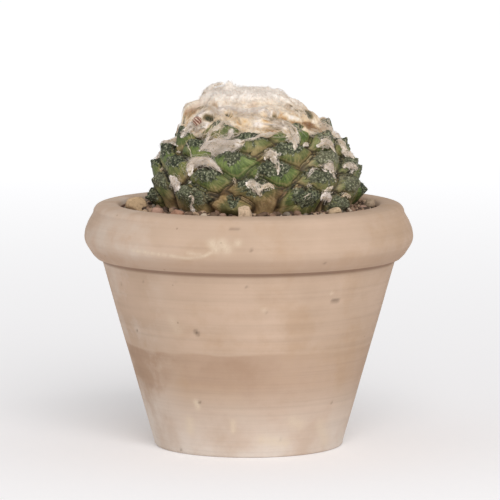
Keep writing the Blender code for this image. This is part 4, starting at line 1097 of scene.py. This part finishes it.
# round the sides and the back the crown's edge hangs down in drapes of no set place
drapes, drape_pads = [], []
draw = random.Random(58)
for number in range(DRAPES):
    a = 0.15 + (math.pi - 0.3) * (number + draw.uniform(0.1, 0.9)) / DRAPES
    path, heading, reach = [], a + draw.gauss(0, 0.5), draw.uniform(26, 30)
    x, y = reach * math.cos(a), reach * math.sin(a)
    for _ in range(5):
        path.append(settled(x + PLANT_X, y, 0.4))
        heading += draw.gauss(0, 0.35)
        pace = draw.uniform(1.2, 3.0)
        x, y = x + pace * math.cos(heading), y + pace * math.sin(heading)
    wide = draw.choice((0.9, 1.8, 3.2, 4.2))
    bundle(path, [wide * 0.6, wide, wide, wide * 0.6, 0.5], round(7 + wide * 7), draw.gauss(0.75, 0.1), draw,
           drapes, drape_pads)
tubes("crown_drapes", drapes)
add_piece("drape_felt", *joined(drape_pads), hair, "wool")

# a tuft in every furrow from the crown's edge down, by the same rule as the tubercles; those
# that the front strings already show are kept small
tufts, tuft_pads = [], []
for n, azimuth, *rest in tubercle_places():
    if not FIRST_TUFT <= n <= LAST_TUFT:
        continue
    draw = random.Random(500 + n)
    place = tubercle_frame(azimuth, *rest)
    size = 0.3 if math.cos(azimuth) > 0.35 else 1.0
    lean, long = draw.uniform(-0.6, 0.6), draw.uniform(3.6, 4.8) * size
    path = [onto(place @ Vector((lean * long * t + 0.3, 5.6 + long * (0.6 - 1.7 * t), 9.4 + 2.4 * t)), 0.15)
            for t in (0.0, 0.33, 0.66, 1.0)]
    wide = draw.uniform(3.4, 4.8) * size
    bundle(path, [wide * 0.7, wide, wide * 0.8, 0.5], round(32 * size), draw.gauss(0.85, 0.08), draw, tufts,
           tuft_pads)
    if size == 1.0:
        way = draw.choice((-1, 1))
        path = [onto(place @ Vector((way * (0.5 + 6.5 * t), 6.4 - 2.5 * t * t, 9.6 + 1.2 * t)), 0.15)
                for t in (0.0, 0.4, 0.7, 1.0)]
        bundle(path, [2.4, 2.0, 1.0, 0.4], 16, draw.gauss(0.85, 0.08), draw, tufts, tuft_pads)
tubes("furrow_strings", tufts)
add_piece("furrow_tufts", *joined(tuft_pads), hair, "wool",
          [f"wool_tuft_{n}" for n in range(FIRST_TUFT, LAST_TUFT + 1)])

# Dried flower
# Last season's flower, shrivelled to a striped brown bud, caught in the wool at the left.
PETAL_SIDES, PETAL_RINGS = 72, 30
HALF_LONG, HALF_WIDE = 2.2, 2.0
PLEATS = 9
flower_place = Matrix.Translation((-23.2, -16.4, 149.3)) @ Matrix.Rotation(math.radians(62), 4, "Y")
flower_points, pleats = [], []
for polar in np.arange(1, PETAL_RINGS) / PETAL_RINGS * math.pi:
    for a in circle(PETAL_SIDES):
        twist = (a + 0.35 * math.cos(polar)) * PLEATS
        pleat = 0.5 + 0.5 * math.cos(twist + 3.0 * noise.noise(Vector((a * 1.5, polar, 4.0))))
        ripple = noise.noise(Vector((math.cos(a), math.sin(a), polar * 2)) * 1.7)
        r = HALF_WIDE * math.sin(polar) ** 0.8 * (1.0 + 0.2 * (pleat - 0.5) + 0.12 * ripple)
        flower_points.append((HALF_LONG * math.cos(polar), r * math.cos(a), r * math.sin(a)))
        pleats.append(pleat)
flower_points += [(HALF_LONG, 0, 0), (-HALF_LONG, 0, 0)]
# Dry petals: papery and matt, reddish brown between pale ribs, with dark spots of a millimetre.
petal, add, here = new_material("dry_petal")
rib = add("ValToRGB", add("Attribute", out=2, attribute_name="rib"),
          stops=((0.1, "6e4336"), (0.5, "9c6d5c"), (1.0, "dac3ad")))
spots = add("TexNoise", here, Scale=1000 / 1.111, Detail=4.0)
finish(add, coats(add, rib, ("3f221b", add("MapRange", spots, 0.5, 0.7, 0.0, 0.5))), 0.8, (spots, 0.5, 0.4))
add_piece("dried_flower_bud", [flower_place @ Vector(spot) for spot in flower_points],
          capped(PETAL_RINGS - 1, PETAL_SIDES), {"rib": pleats + [0.5, 0.5]}, petal, "dry_petal",
          ["dried_flower"])

low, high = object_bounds()
